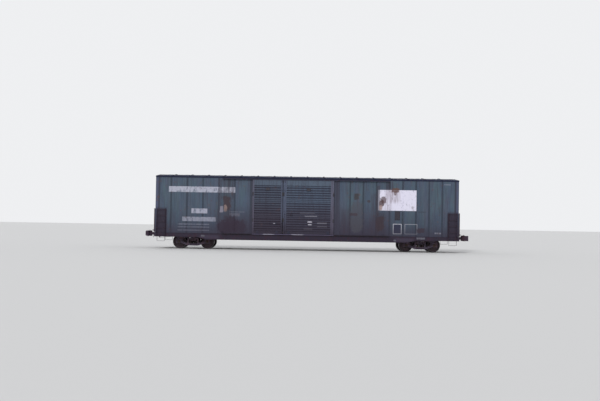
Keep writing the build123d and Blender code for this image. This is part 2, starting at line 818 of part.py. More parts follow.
# Brake cylinder, with its piston rod
cylinder_z = centre_sill_bottom - 40.0
with BuildPart() as brake_cylinder:
    cylinder_x, cylinder_radius, cylinder_stroke = 900.0, 115.0, 470.0
    rod((cylinder_x - 170, -hanger_y, cylinder_z), (cylinder_x + 170, -hanger_y, cylinder_z), cylinder_radius)
    for x in (cylinder_x - 185, cylinder_x + 155):
        rod((x, -hanger_y, cylinder_z), (x + 30, -hanger_y, cylinder_z), cylinder_radius + 22)
    for x in (cylinder_x - 110, cylinder_x + 110):
        hanger = (-stringer_rows[1] - 20, -stringer_rows[0] + 20)
        block((x - 12, x + 12), hanger, (cylinder_z + 60, stringer_bottom))
    push_rod = (cylinder_x - cylinder_stroke, -hanger_y, cylinder_z)
    rod(push_rod, (cylinder_x - 180, -hanger_y, cylinder_z), 22)
save(brake_cylinder, "brake_cylinder")

# Foundation brake rigging: the cylinder lever and the long pull rods to the trucks
with BuildPart() as brake_rigging:
    lever_end = cylinder_x - cylinder_stroke
    lever_points = [
        (lever_end, -hanger_y - 60),
        (lever_end, -hanger_y + 60),
        (lever_end - 60, 150),
        (lever_end - 130, 150),
        (lever_end - 80, -hanger_y - 60),
    ]
    plate(Plane.XY.offset(cylinder_z - 11), lever_points, 22)
    rod((lever_end - 90, -pull_rod_y[0], cylinder_z), (rod_reach, -pull_rod_y[0], cylinder_z), pull_rod_radius)
    rod((2400, -pull_rod_y[0], cylinder_z), (3100, -pull_rod_y[0], cylinder_z), adjuster_radius)
    rod((lever_end - 60, pull_rod_y[1], cylinder_z), (-rod_reach, pull_rod_y[1], cylinder_z), pull_rod_radius)
    for x, y in ((rod_reach, -pull_rod_y[0]), (-rod_reach, pull_rod_y[1])):
        rod((x, y, cylinder_z - 20), (x, y, cylinder_z + 20), 34)
    for x, y in ((rod_guide_x, -pull_rod_y[0]), (-rod_guide_x, pull_rod_y[1])):
        block((x - 10, x + 10), (y - 30, y + 30), (cylinder_z - 24, centre_sill_bottom))
save(brake_rigging, "brake_rigging")

# Upper door tracks: inverted channels that hold the tops of the doors
with BuildPart() as upper_door_tracks:
    track = [
        (-outer_half, track_top),
        (-outer_half, track_bottom),
        (-outer_half - 8, track_bottom),
        (-outer_half - 8, track_top - track_plate),
        (-outer_half - track_reach + track_plate, track_top - track_plate),
        (-outer_half - track_reach + track_plate, track_bottom),
        (-outer_half - track_reach, track_bottom),
        (-outer_half - track_reach, track_top),
    ]
    plate(Plane.YZ.offset(track_left), track, track_right - track_left)
    add(turned(upper_door_tracks.part))
save(upper_door_tracks, "upper_door_tracks")

# Lower door tracks: an angle on the side sill, with an upstanding rail for the rollers
with BuildPart() as lower_door_tracks:
    track_edge = outer_half + track_reach - 24
    lower = [
        (-sill_outer, lower_rail_z - 100),
        (-sill_outer, lower_rail_z - 16),
        (-roller_u + 5, lower_rail_z - 16),
        (-roller_u + 5, lower_rail_z),
        (-roller_u - 5, lower_rail_z),
        (-roller_u - 5, lower_rail_z - 16),
        (-track_edge, lower_rail_z - 16),
        (-track_edge, lower_rail_z - 26),
        (-sill_outer - 10, lower_rail_z - 26),
        (-sill_outer - 10, lower_rail_z - 100),
    ]
    plate(Plane.YZ.offset(track_left), lower, track_right - track_left)
    gusset = [
        (-sill_outer - 10, lower_rail_z - 26),
        (-track_edge + 8, lower_rail_z - 26),
        (-sill_outer - 10, lower_rail_z - 92),
    ]
    for i in range(int((track_right - track_left - gusset_inset) / gusset_pitch) + 1):
        plate(Plane.YZ.offset(track_left + gusset_inset + gusset_pitch * i), gusset, gusset_thickness)
    stops = (narrow_door[0] - narrow_travel - stop_gap - stop_thickness, wide_door[1] + wide_travel + stop_gap)
    for x in stops:
        stop_u = (-rib_faces, -outer_half - batten_proud - 2)
        block((x, x + stop_thickness), stop_u, (lower_rail_z - 16, door_bottom + 90))
    add(turned(lower_door_tracks.part))
save(lower_door_tracks, "lower_door_tracks")


def door_builder(limits, stile, lock_right, handle_z, pulls):
    """One sliding door on the near side: a ribbed sheet in a frame, with rollers, a lock rod and pulls."""
    left, right = limits
    with BuildPart() as made:
        with BuildSketch(Plane.XZ.offset(door_face)):
            with Locations(((left + right) / 2, (door_bottom + door_top) / 2)):
                Rectangle(right - left, door_top - door_bottom)
        extrude(amount=door_skin)
        for start, end, proud in (
            (left, left + stile, stile_proud),
            (right - stile, right, stile_proud),
        ):
            block((start, end), (-rib_faces - proud, -rib_faces), (door_bottom, door_top))
        for low, high in ((door_bottom, door_bottom + bottom_rail), (door_top - top_rail, door_top)):
            block((left + stile, right - stile), (-rib_faces - rail_proud, -rib_faces), (low, high))
        sheet_height = (door_top - top_rail - door_bottom - bottom_rail) / door_sheets
        rib_pitch = (sheet_height - sheet_band) / ribs_per_sheet
        ribs = [(-rib_faces + 4, door_bottom + bottom_rail)]
        for sheet in range(door_sheets):
            foot = door_bottom + bottom_rail + sheet_height * sheet
            ribs += [(-rib_faces - rail_proud + 8, foot), (-rib_faces - rail_proud + 8, foot + sheet_band)]
            for rib in range(ribs_per_sheet):
                valley = foot + sheet_band + rib_pitch * (rib + (1 - rib_crest - 2 * rib_flank) / 2)
                ribs += [
                    (-rib_faces, valley),
                    (-rib_faces - rib_proud, valley + rib_pitch * rib_flank),
                    (-rib_faces - rib_proud, valley + rib_pitch * (rib_flank + rib_crest)),
                    (-rib_faces, valley + rib_pitch * (2 * rib_flank + rib_crest)),
                ]
        ribs += [(-rib_faces, door_top - top_rail), (-rib_faces + 4, door_top - top_rail)]
        plate(Plane.YZ.offset(left + stile), ribs, right - left - 2 * stile)
        for x in (left + roller_inset, right - roller_inset):
            z = lower_rail_z + rolling_gap + roller_radius
            rod((x, roller_width / 2 - roller_u, z), (x, -roller_u - roller_width / 2, z), roller_radius)
            housing_u = (-rib_faces - rail_proud - 10, -rib_faces)
            block((x - 60, x + 60), housing_u, (door_bottom, door_bottom + bottom_rail))
        lock_x = right - stile / 2 if lock_right else left + stile / 2
        lock_u = rib_faces + stile_proud + 14
        rod((lock_x, -lock_u, door_bottom + 60), (lock_x, -lock_u, door_top - 90), lock_rod_radius)
        for z in (door_bottom + 160, handle_z - 160, handle_z + 160, door_top - 700, door_top - 160):
            block((lock_x - 40, lock_x + 40), (-lock_u - 14, -rib_faces - stile_proud), (z - 24, z + 24))
        reach = -handle_reach if lock_right else handle_reach
        block(sorted((lock_x, lock_x + reach)), (-lock_u - 8, -lock_u + 8), (handle_z - 18, handle_z + 18))
        keeper = lock_x + reach * 0.8
        block((keeper - 25, keeper + 25), (-lock_u - 8, -rib_faces - 2), (handle_z - 60, handle_z - 18))
        middle = (left + right) / 2
        card_z = (door_top - card_drop - card_height, door_top - card_drop)
        card_u = (-rib_faces - rib_proud - 8, -rib_faces)
        block((middle - card_width / 2, middle + card_width / 2), card_u, card_z)
        for x in pulls:
            grip_u = rib_faces + rib_proud + 20
            low, high = (middle + x, -grip_u, pull_z), (middle + x, -grip_u, pull_z + pull_height)
            rod(low, high, pull_radius)
            for tip in (low, high):
                rod((tip[0], -rib_faces - 1, tip[2]), tip, pull_radius)
                with Locations(tip):
                    Sphere(pull_radius)
    return made


doors = (
    ("wide_door", wide_door, wide_stile, False, rail_top + 2200.0, (-40.0, 210.0)),
    ("narrow_door", narrow_door, narrow_stile, True, rail_top + 1640.0, (180.0,)),
)
for node, limits, stile, lock_right, handle_z, pulls in doors:
    for side in ("right", "left"):
        with BuildPart() as placed:
            made = door_builder(limits, stile, lock_right, handle_z, pulls).part
            add(made if side == "right" else turned(made))
        save(placed, f"{node}_{side}")

# Ladders: flat stiles set on edge against the wall, and round rungs between them
rung_heights = [rung_first + rung_pitch * i for i in range(rung_count)]
stile_z = (rung_heights[0] - ladder_overrun, rung_heights[-1] + ladder_overrun)
rung_out = stile_depth - 14
end_rungs = [z for z in rung_heights if z > wall_bottom]
with BuildPart() as ladder_stiles:
    for x in side_ladder:
        for end in (-1, 1):
            stile_x = (end * x - stile_thick / 2, end * x + stile_thick / 2)
            block(stile_x, (-outer_half - stile_depth, -outer_half), (wall_bottom, stile_z[1]))
            block(stile_x, (-outer_half - stile_depth, -sill_outer), (stile_z[0], wall_bottom))
    for y in end_ladder:
        for side in (-1, 1):
            stile_y = (side * y - stile_thick / 2, side * y + stile_thick / 2)
            block((body_half, body_half + stile_depth), stile_y, (wall_bottom + 40, stile_z[1]))
    add(turned(ladder_stiles.part))
save(ladder_stiles, "ladder_stiles")

with BuildPart() as ladder_rungs:
    for z in rung_heights:
        for end in (-1, 1):
            start, stop = sorted(end * x for x in side_ladder)
            rod(
                (start + stile_thick / 2, -outer_half - rung_out, z),
                (stop - stile_thick / 2, -outer_half - rung_out, z),
                rung_radius,
            )
    for z in end_rungs:
        for side in (-1, 1):
            start, stop = sorted(side * y for y in end_ladder)
            rod(
                (body_half + rung_out, start + stile_thick / 2, z),
                (body_half + rung_out, stop - stile_thick / 2, z),
                rung_radius,
            )
    add(turned(ladder_rungs.part))
save(ladder_rungs, "ladder_rungs")

# Sill steps: flat bar stirrups under each corner
with BuildPart() as sill_steps:
    for end in (-1, 1):
        start, stop = sorted(end * x for x in step_x)
        with BuildSketch(Plane.XZ.offset(sill_outer)) as stirrup:
            with BuildLine():
                Polyline(
                    (start, step_top),
                    (start, step_tread - step_bar),
                    (stop, step_tread - step_bar),
                    (stop, step_top),
                    (stop - step_bar, step_top),
                    (stop - step_bar, step_tread),
                    (start + step_bar, step_tread),
                    (start + step_bar, step_top),
                    close=True,
                )
            make_face()
            fillet(stirrup.vertices().group_by(Axis.Y)[0], 30)
            fillet(stirrup.vertices().filter_by(lambda v: abs(v.Y - step_tread) < 1), 18)
        extrude(amount=step_width)
    add(turned(sill_steps.part))
save(sill_steps, "sill_steps")

# Crossover platforms over the couplers
platform_top = floor_top
platform_x = (body_half + bead_proud + 6, body_half + bead_proud + 236)
with BuildPart() as crossover_platforms:
    platform_half, platform_thickness = 762.0, 32.0
    block(platform_x, (-platform_half, platform_half), (platform_top - platform_thickness, platform_top))
    with BuildSketch(Plane.XY.offset(platform_top - platform_thickness)) as openings:
        with Locations(((platform_x[0] + platform_x[1]) / 2, 0)):
            with GridLocations(52, 94, 4, 16):
                Rectangle(42, 84)
    extrude(openings.sketch, amount=platform_thickness, mode=Mode.SUBTRACT)
    for y in (-600, 600):
        bracket = [
            (body_half, wall_bottom + 20),
            (body_half, platform_top - platform_thickness),
            (platform_x[1] - 10, platform_top - platform_thickness),
            (platform_x[1] - 30, platform_top - platform_thickness - 26),
        ]
        plate(Plane.XZ.offset(-y - 6), bracket, 12)
    add(turned(crossover_platforms.part))
save(crossover_platforms, "crossover_platforms")

# End handrails above the platforms, held in a valley of the corrugated end
with BuildPart() as end_handrails:
    rail_z = bead_first + bead_pitch * 6.5
    rail_x, rail_half = body_half + bead_proud + 66, 560.0
    rod((rail_x, -rail_half, rail_z), (rail_x, rail_half, rail_z), 11)
    for side in (-1, 1):
        edges = sorted((side * rail_half, side * (rail_half + 12)))
        block((body_half, rail_x + 16), edges, (rail_z - 26, rail_z + 26))
    add(turned(end_handrails.part))
save(end_handrails, "end_handrails")

# Hand brake at the -X end: gear housing with its rod, and a spoked wheel
brake_y, brake_z = 480.0, bead_first + bead_pitch * 4
housing_back = -body_half - bead_proud
wheel_plane = housing_back - 190.0
with BuildPart() as hand_brake:
    with BuildSketch(Plane.YZ.offset(housing_back - 130)):
        with Locations((brake_y, brake_z - 40)):
            RectangleRounded(270, 380, 60)
    extrude(amount=130)
    fillet(hand_brake.faces().sort_by(Axis.X)[0].edges(), 24)
    rod((housing_back - 120, brake_y, brake_z), (wheel_plane + 20, brake_y, brake_z), 24)
    rod((housing_back - 45, brake_y + 60, brake_z - 200), (housing_back - 45, brake_y + 60, rail_top + 800), 11)
    block(
        (-end_sill_face - 64, -end_sill_face),
        (brake_y + 30, brake_y + 90),
        (rail_top + 790, rail_top + 840),
    )
save(hand_brake, "hand_brake")

with BuildPart() as hand_brake_wheel:
    rim_radius, rim_tube, spokes = 265.0, 14.0, 5
    hub = Plane(origin=(wheel_plane, brake_y, brake_z), x_dir=(0, 1, 0), z_dir=(1, 0, 0))
    with BuildSketch(Plane(origin=hub.origin, x_dir=(0, 1, 0), z_dir=(0, 0, 1))) as rim:
        with Locations((rim_radius, 0)):
            Circle(rim_tube)
    revolve(rim.sketch, axis=Axis(hub.origin, (1, 0, 0)))
    rod((wheel_plane - 22, brake_y, brake_z), (wheel_plane + 20, brake_y, brake_z), 42)
    for i in range(spokes):
        angle = 2 * pi * i / spokes + pi / 2
        tip = (wheel_plane, brake_y + rim_radius * cos(angle), brake_z + rim_radius * sin(angle))
        rod((wheel_plane, brake_y, brake_z), tip, 12)
save(hand_brake_wheel, "hand_brake_wheel")


def side_frame_builder():
    """The near side frame of a truck at the origin: a flanged casting with three windows and two jaws."""
    half_base = wheelbase / 2
    jaw_out = half_base + jaw_half + jaw_wall
    inner_face = journal_centre - frame_width / 2
    outer_face = journal_centre + frame_width / 2
    right = [
        (window_half + 75, frame_bottom),
        (half_base - jaw_half - jaw_toe, jaw_bottom),
        (half_base - jaw_half, jaw_bottom),
        (half_base - jaw_half, adapter_top),
        (half_base + jaw_half, adapter_top),
        (half_base + jaw_half, jaw_bottom),
        (jaw_out, jaw_bottom),
        (jaw_out, adapter_top + 60),
        (jaw_out - 90, adapter_top + 106),
        (window_half + 225, frame_top),
    ]
    outline = right + [(-x, z) for x, z in reversed(right)]
    side_window = [
        (window_half + column_width, frame_bottom + 118),
        (window_half + column_width, frame_top - 112),
        (half_base - jaw_half - 96, frame_top - 158),
        (half_base - jaw_half - 96, jaw_bottom + 120),
    ]
    bolster_window = [
        (-window_half, spring_seat_z),
        (window_half, spring_seat_z),
        (window_half, bolster_top + 15),
        (-window_half, bolster_top + 15),
    ]
    with BuildSketch() as windows:
        with BuildLine():
            Polyline(*bolster_window, close=True)
        make_face()
        for side in (-1, 1):
            with BuildLine():
                Polyline(*[(side * x, z) for x, z in side_window], close=True)
            make_face()
        fillet(windows.vertices(), window_corner)
    with BuildPart() as made:
        with BuildSketch(Plane.XZ.offset(inner_face)) as casting:
            with BuildLine():
                Polyline(*outline, close=True)
            make_face()
            bends = casting.vertices().filter_by(lambda v: v.Y < frame_bottom + 1 or v.Y > adapter_top + 50)
            fillet(bends, frame_bend)
            add(windows.sketch, mode=Mode.SUBTRACT)
        extrude(casting.sketch, amount=frame_width)
        with BuildSketch(Plane.XZ.offset(outer_face)) as recess:
            add(casting.sketch.moved(Location((0, -frame_width, 0))))
            offset(amount=-frame_flange, kind=Kind.INTERSECTION, mode=Mode.REPLACE)
        extrude(recess.sketch, amount=-frame_pocket, mode=Mode.SUBTRACT)
        for side in (-1, 1):
            guide_x = sorted((side * (window_half + 20), side * (beam_centre + beam_bar)))
            guide_z = (beam_z - beam_depth, beam_z + beam_depth)
            block(guide_x, (-inner_face, beam_guide - inner_face), guide_z)
            rib_x = side * (window_half + column_width / 2)
            rib_y = (-outer_face, frame_pocket - outer_face)
            block((rib_x - 7, rib_x + 7), rib_y, (frame_bottom + frame_flange, frame_top - frame_flange))
        seat_y = (-journal_centre - spring_seat_half, -journal_centre + spring_seat_half)
        block((-window_half, window_half), seat_y, (spring_seat_z - spring_seat_thickness, spring_seat_z))
        for lip in seat_y:
            lip_y = sorted((lip, lip + (10 if lip < -journal_centre else -10)))
            block((-window_half + 40, window_half - 40), lip_y, (spring_seat_z, spring_seat_z + 14))
    return made


def spring_set(side):
    """Five load coils under one end of the truck bolster."""
    centre_y = side * journal_centre
    places = [(x, y) for x in (-spring_column, spring_column) for y in (-spring_row, spring_row)] + [(0, 0)]
    coil_radius = spring_radius - spring_wire
    with BuildPart() as made:
        for x, y in places:
            with BuildLine(Plane.XY.offset(spring_seat_z + spring_wire)) as line:
                turns = Helix(
                    pitch=(spring_height - 2 * spring_wire) / spring_turns,
                    height=spring_height - 2 * spring_wire,
                    radius=coil_radius,
                )
            coil = turns.moved(Location((x, centre_y + y, 0)))
            with BuildSketch(Plane(origin=coil @ 0, z_dir=coil % 0)) as wire:
                Circle(spring_wire)
            sweep(wire.sketch, path=coil, is_frenet=True)
    return made


def wheel_profile():
    """Half section of one wheel as (distance from the centre line, radius) pairs, hub first."""
    front = wheel_back + rim_width
    tread_start = wheel_back + 34
    plate_mid = wheel_back + 62
    rim_inner = wheel_radius - rim_thickness
    return [
        (hub_inner_face, wheel_seat_radius),
        (hub_inner_face, hub_radius - 4),
        (hub_inner_face + 6, hub_radius),
        (plate_mid - 20 - plate_thickness / 2, hub_radius + 22),
        (plate_mid - plate_thickness / 2, rim_inner - 22),
        (wheel_back + 12, rim_inner),
        (wheel_back, rim_inner + 10),
        (wheel_back, wheel_radius + 10),
        (wheel_back + 5, wheel_radius + flange_height - 5),
        (wheel_back + 14, wheel_radius + flange_height),
        (wheel_back + 22, wheel_radius + flange_height - 4),
        (wheel_back + 28, wheel_radius + 9),
        (tread_start, wheel_radius + 2),
        (front - 10, wheel_radius - rim_width * tread_slope / 2 - 1),
        (front, wheel_radius - 12),
        (front, rim_inner + 8),
        (front - 10, rim_inner),
        (plate_mid + plate_thickness / 2, rim_inner - 22),
        (plate_mid - 20 + plate_thickness / 2, hub_radius + 22),
        (hub_inner_face + hub_length - 6, hub_radius),
        (hub_inner_face + hub_length, hub_radius - 4),
        (hub_inner_face + hub_length, wheel_seat_radius),
    ]


def axle_profile():
    """Half section of the axle from its middle to the end cap, as (distance, radius) pairs."""
    journal_end = journal_centre + bearing_length / 2 + 6
    return [
        (0, 0),
        (0, axle_body_radius),
        (420, axle_body_radius + 4),
        (600, wheel_seat_radius - 6),
        (hub_inner_face - 12, wheel_seat_radius),
        (hub_inner_face + hub_length + 4, wheel_seat_radius),
        (hub_inner_face + hub_length + 10, journal_radius + 12),
        (journal_centre - bearing_length / 2 - 12, journal_radius + 12),
        (journal_centre - bearing_length / 2 - 8, journal_radius),
        (journal_end, journal_radius),
        (journal_end, end_cap_radius - 10),
        (journal_end + 4, end_cap_radius),
        (journal_end + end_cap_length - 8, end_cap_radius),
        (journal_end + end_cap_length, end_cap_radius - 14),
        (journal_end + end_cap_length, 0),
    ]


def revolved_about_axle(profile, x, side, bends=()):
    """Turns a half section about an axle at x, towards one side; corners at the radii in bends are rounded."""
    with BuildSketch(Plane(origin=(x, 0, axle_z), x_dir=(0, side, 0), z_dir=(1, 0, 0))) as section:
        with BuildLine():
            Polyline(*profile, close=True)
        make_face()
        corners = section.vertices().filter_by(lambda v: any(abs(v.Y - radius) < 1 for radius in bends))
        if bends:
            fillet(corners, plate_fillet)
    revolve(section.sketch, axis=Axis((x, 0, axle_z), (0, 1, 0)))


wheelset_x = [
    -truck_centre - wheelbase / 2,
    -truck_centre + wheelbase / 2,
    truck_centre - wheelbase / 2,
    truck_centre + wheelbase / 2,
]
plate_bends = (hub_radius + 22, wheel_radius - rim_thickness - 22)
for number, x in enumerate(wheelset_x, start=1):
    with BuildPart() as wheels:
        for side in (-1, 1):
            revolved_about_axle(wheel_profile(), x, side, plate_bends)
    save(wheels, f"wheelset_{number}_wheels")
    with BuildPart() as axle:
        for side in (-1, 1):
            revolved_about_axle(axle_profile(), x, side)
        for side in (-1, 1):
            cap_face = side * (journal_centre + bearing_length / 2 + 6 + end_cap_length)
            for i in range(3):
                angle = 2 * pi * i / 3 + pi / 2
                bolt_x = x + 52 * cos(angle)
                bolt_z = axle_z + 52 * sin(angle)
                rod((bolt_x, cap_face - side * 4, bolt_z), (bolt_x, cap_face + side * 14, bolt_z), 15)
    save(axle, f"wheelset_{number}_axle")


def bearings_builder():
    """Roller bearing cups with their adapters, which seat in the jaws of the side frames."""
    with BuildPart() as made:
        for x in (-wheelbase / 2, wheelbase / 2):
            for side in (-1, 1):
                inner = side * (journal_centre - bearing_length / 2)
                outer = side * (journal_centre + bearing_length / 2)
                edges = sorted((side * (journal_centre - 66), side * (journal_centre + 66)))
                block((x - jaw_half + 0.3, x + jaw_half - 0.3), edges, (axle_z + 60, adapter_top))
                rod((x, inner, axle_z), (x, outer, axle_z), bearing_radius)
                for y in (inner, outer):
                    lean = 8 if y == outer else -8
                    rod((x, y, axle_z), (x, y - side * lean, axle_z), bearing_radius + 6)
                bore_ends = ((x, inner - side * 12, axle_z), (x, outer + side * 12, axle_z))
                rod(*bore_ends, journal_radius + bearing_running_gap, mode=Mode.SUBTRACT)
    return made


def truck_bolster_builder():
    """The truck bolster, with its centre bowl, side bearings, lightening holes and friction wedges."""
    end_bottom = spring_seat_z + spring_height
    bolster_end = journal_centre + 110
    half = [
        (bolster_end, bolster_top),
        (bolster_end, end_bottom),
        (journal_centre - 160, end_bottom),
        (430, bolster_middle_z),
    ]
    profile = half + [(-y, z) for y, z in reversed(half)]
    with BuildPart() as made:
        with BuildSketch(Plane.YZ.offset(-bolster_half)) as section:
            with BuildLine():
                Polyline(*profile, close=True)
            make_face()
            fillet(section.vertices().filter_by(lambda v: v.Y < bolster_middle_z + 1), bolster_knee)
            for side in (-1, 1):
                with Locations((side * 400, (bolster_top + bolster_middle_z) / 2 + 20)):
                    SlotOverall(300, 110, mode=Mode.SUBTRACT)
        extrude(section.sketch, amount=2 * bolster_half)
        bowl_radius = centre_plate_radius + bowl_gap
        rod((0, 0, bolster_top - 40), (0, 0, bolster_top + bowl_rim), bowl_radius + bowl_wall)
        bowl_z = (bolster_top - bowl_depth, bolster_top + bowl_rim + 1)
        rod((0, 0, bowl_z[0]), (0, 0, bowl_z[1]), bowl_radius, mode=Mode.SUBTRACT)
        for side in (-1, 1):
            edges = sorted((side * (side_bearing_y - 60), side * (side_bearing_y + 60)))
            block((-110, 110), edges, (bolster_top, side_bearing_top))
            pocket_y = sorted((side * (bolster_end - bolster_pocket), side * bolster_end))
            for pocket_x in ((-bolster_half + 24, -12), (12, bolster_half - 24)):
                block(pocket_x, pocket_y, (end_bottom + 24, bolster_top - 24), mode=Mode.SUBTRACT)
            for end in (-1, 1):
                wedge = [
                    (end * bolster_half, bolster_top - 24),
                    (end * (window_half - wedge_gap), bolster_top - 24),
                    (end * (window_half - wedge_gap), bolster_top - wedge_height),
                    (end * bolster_half, bolster_top - wedge_height + 40),
                ]
                plate(Plane.XZ.offset(-side * journal_centre), wedge, wedge_width / 2, both=True)
    return made


def brake_beams_builder():
    """Two trussed brake beams with a shoe just off each wheel."""
    with BuildPart() as made:
        for end in (-1, 1):
            centre_x = end * wheelbase / 2
            inner_radius = wheel_radius + shoe_gap
            shoe_y = wheel_back + 40 + shoe_width / 2
            for side in (-1, 1):
                with BuildSketch(Plane.XZ.offset(-side * shoe_y)) as arc:
                    with Locations((centre_x, axle_z)):
                        Circle(inner_radius + shoe_thickness)
                        Circle(inner_radius, mode=Mode.SUBTRACT)
                    keep = 1.6 * wheel_radius
                    low, high = radians(-shoe_span / 2 - 8), radians(shoe_span / 2 - 8)
                    with BuildLine():
                        Polyline(
                            (centre_x, axle_z),
                            (centre_x - end * keep * cos(low), axle_z + keep * sin(low)),
                            (centre_x - end * keep * cos(high), axle_z + keep * sin(high)),
                            close=True,
                        )
                    make_face(mode=Mode.INTERSECT)
                extrude(arc.sketch, amount=shoe_width / 2, both=True)
            beam_x = end * beam_centre
            frame_face = journal_centre - frame_width / 2 - beam_guide - beam_gap
            block(
                (beam_x - beam_bar / 2, beam_x + beam_bar / 2),
                (-frame_face, frame_face),
                (beam_z - beam_depth / 2, beam_z + beam_depth / 2),
            )
            truss = [
                (beam_x, -690),
                (beam_x - end * beam_reach, -30),
                (beam_x - end * beam_reach, 30),
                (beam_x, 690),
                (beam_x, 640),
                (beam_x - end * (beam_reach - 36), 26),
                (beam_x - end * (beam_reach - 36), -26),
                (beam_x, -640),
            ]
            plate(Plane.XY.offset(beam_z), truss, 15, both=True)
            block(
                sorted((beam_x, beam_x - end * beam_reach)),
                (-16, 16),
                (beam_z - 18, beam_z + 18),
            )
            foot_x = beam_x - end * (beam_reach - 20)
            head_x = foot_x + end * brake_lever_lean
            brake_lever = [
                (foot_x - brake_lever_width / 2, beam_z - brake_lever_foot),
                (foot_x + brake_lever_width / 2, beam_z - brake_lever_foot),
                (head_x + brake_lever_width / 2, bolster_top - brake_lever_drop),
                (head_x - brake_lever_width / 2, bolster_top - brake_lever_drop),
            ]
            plate(Plane.XZ, brake_lever, brake_lever_thickness / 2, both=True)
            bottom_rod_z = beam_z - brake_lever_foot + bottom_rod_radius
            rod((0, 0, bottom_rod_z), (foot_x, 0, bottom_rod_z), bottom_rod_radius)
    return made


truck_parts = (
    ("side_frames", side_frame_builder),
    ("bolster", truck_bolster_builder),
    ("bearings", bearings_builder),
    ("brake_beams", brake_beams_builder),
)
for x, name in ((truck_centre, "a"), (-truck_centre, "b")):
    for node, make in truck_parts:
        with BuildPart() as placed:
            made = make().part
            if node == "side_frames":
                add(turned(made).moved(Location((x, 0, 0))))
            add(made.moved(Location((x, 0, 0))))
        save(placed, f"truck_{name}_{node}")
    with BuildPart() as placed:
        for side in (-1, 1):
            add(spring_set(side).part.moved(Location((x, 0, 0))))
    save(placed, f"truck_{name}_springs")
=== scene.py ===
# %% [markdown]
# # The finish of a sixty-foot boxcar
# The car's solids come from the frame, in metres: +X along the car, +Z up, the side that the camera faces
# at -Y, and the wheel flanges on the floor. They are never moved here. Each gets a finish, and the small
# fittings that the solids leave out are modelled round them: rivets, bolts, pipes, chains and plates.

# %% Load the frame
import math

import bpy
from mathutils import Matrix, Vector


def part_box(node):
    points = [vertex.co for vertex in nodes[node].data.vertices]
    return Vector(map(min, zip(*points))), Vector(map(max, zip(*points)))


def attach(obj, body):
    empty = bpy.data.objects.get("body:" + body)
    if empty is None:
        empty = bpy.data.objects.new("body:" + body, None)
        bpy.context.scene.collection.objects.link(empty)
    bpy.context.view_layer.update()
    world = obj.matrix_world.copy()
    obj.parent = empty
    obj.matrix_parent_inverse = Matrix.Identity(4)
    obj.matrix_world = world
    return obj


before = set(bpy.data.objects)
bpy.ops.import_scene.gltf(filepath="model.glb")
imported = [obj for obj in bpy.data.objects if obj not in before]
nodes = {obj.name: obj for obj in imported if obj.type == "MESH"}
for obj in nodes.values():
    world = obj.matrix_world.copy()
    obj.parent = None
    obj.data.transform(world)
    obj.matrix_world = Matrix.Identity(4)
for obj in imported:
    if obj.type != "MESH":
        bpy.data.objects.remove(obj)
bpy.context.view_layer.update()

print("CAD nodes:", len(nodes))

# %% [markdown]
# ## Sizes that the fittings share
# A fitting sits on a solid, so its place is worked out from that solid's box or from the few sizes below,
# which are the car's own. The far side is the near side turned half round about Z, so most fittings are
# made once.

# %% Sizes from the frame
mm = 0.001
rail_top = 25 * mm
body_end = 9.360
wall_face = 1.500
lining_face = 1.402
floor_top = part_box("floor")[1].z
sill_face = 1.488
end_sill_face = 9.400
opening_left, opening_right = -3.307, 1.570
door_span = (-3.38, 1.64)
track_left, track_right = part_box("upper_door_tracks")[0].x, 5.060
roof_bays = 18
bay = 2 * body_end / roof_bays
truck_x = {"a": 7.050, "b": -7.050}
wheel_x = {1: -7.9135, 2: -6.1865, 3: 6.1865, 4: 7.9135}
axle_z = 0.444
coupler_z = 0.901
batten_x = (-4.477, -5.457, -6.437, -7.417, -8.397, 2.64, 3.4525, 4.265, 5.0775, 5.89, 6.7025, 7.515, 8.3275)
wide_pitch, narrow_pitch = 0.980, 0.8125
post_strips_and_painted_shadow = ((-3.497, opening_left), (opening_right, 2.000))

# %% [markdown]
# ## The camera
# The photograph was taken from the side, some fifty metres off and low down, with a slight tilt up and a
# slight roll. The same place and lens give the same outline, so the two pictures can be laid over each
# other. A Track To constraint could aim the camera, but two turns multiplied together also give the roll.

# %% Camera
camera_place = Vector((-0.45, -50.70, 1.71))
tilt_up, roll = math.radians(1.61), math.radians(0.96)
bpy.ops.object.camera_add(location=camera_place)
camera = bpy.context.object
aim = Matrix.Rotation(math.pi / 2 + tilt_up, 3, "X") @ Matrix.Rotation(roll, 3, "Z")
camera.rotation_euler = aim.to_euler()
camera.data.lens = 47.9
camera.data.sensor_width = 36
camera.data.clip_end = 500
bpy.context.scene.camera = camera
print("camera", round((camera_place - Vector((0, -wall_face, 1.71))).length, 2), "m from the side")

# %% [markdown]
# ## One function for nodes, one for colours
# Every finish is a small tree of nodes. A node is always added the same way: its kind, what goes into its
# sockets, and its settings. Colours are written as sRGB hex values, as a paint chart gives them, and
# Blender works in linear light, so one function turns them.

# %% Node and colour helpers
def linear(hex_value):
    """The linear colour of an sRGB hex value such as 4b5a64."""
    channels = [int(hex_value[i:i + 2], 16) / 255 for i in (0, 2, 4)]
    return [c / 12.92 if c <= 0.04045 else ((c + 0.055) / 1.055) ** 2.4 for c in channels] + [1.0]


def add_node(material, kind, inputs=None, **settings):
    """Adds a node. Each input is a number, a colour or vector, or the socket of another node."""
    node = material.node_tree.nodes.new(kind)
    for name, value in settings.items():
        setattr(node, name, value)
    for socket, value in (inputs or {}).items():
        if isinstance(value, bpy.types.NodeSocket):
            material.node_tree.links.new(value, node.inputs[socket])
        else:
            node.inputs[socket].default_value = value
    return node


def new_finish(name, roughness, metallic=0.0, **sockets):
    """A material with one Principled shader, whose even values are set on its own sockets."""
    material = bpy.data.materials.new(name)
    material.use_nodes = True
    shader = material.node_tree.nodes["Principled BSDF"]
    shader.inputs["Roughness"].default_value = roughness
    shader.inputs["Metallic"].default_value = metallic
    for socket, value in sockets.items():
        shader.inputs[socket.replace("_", " ")].default_value = value
    return material, shader


print("white is", linear("ffffff"))

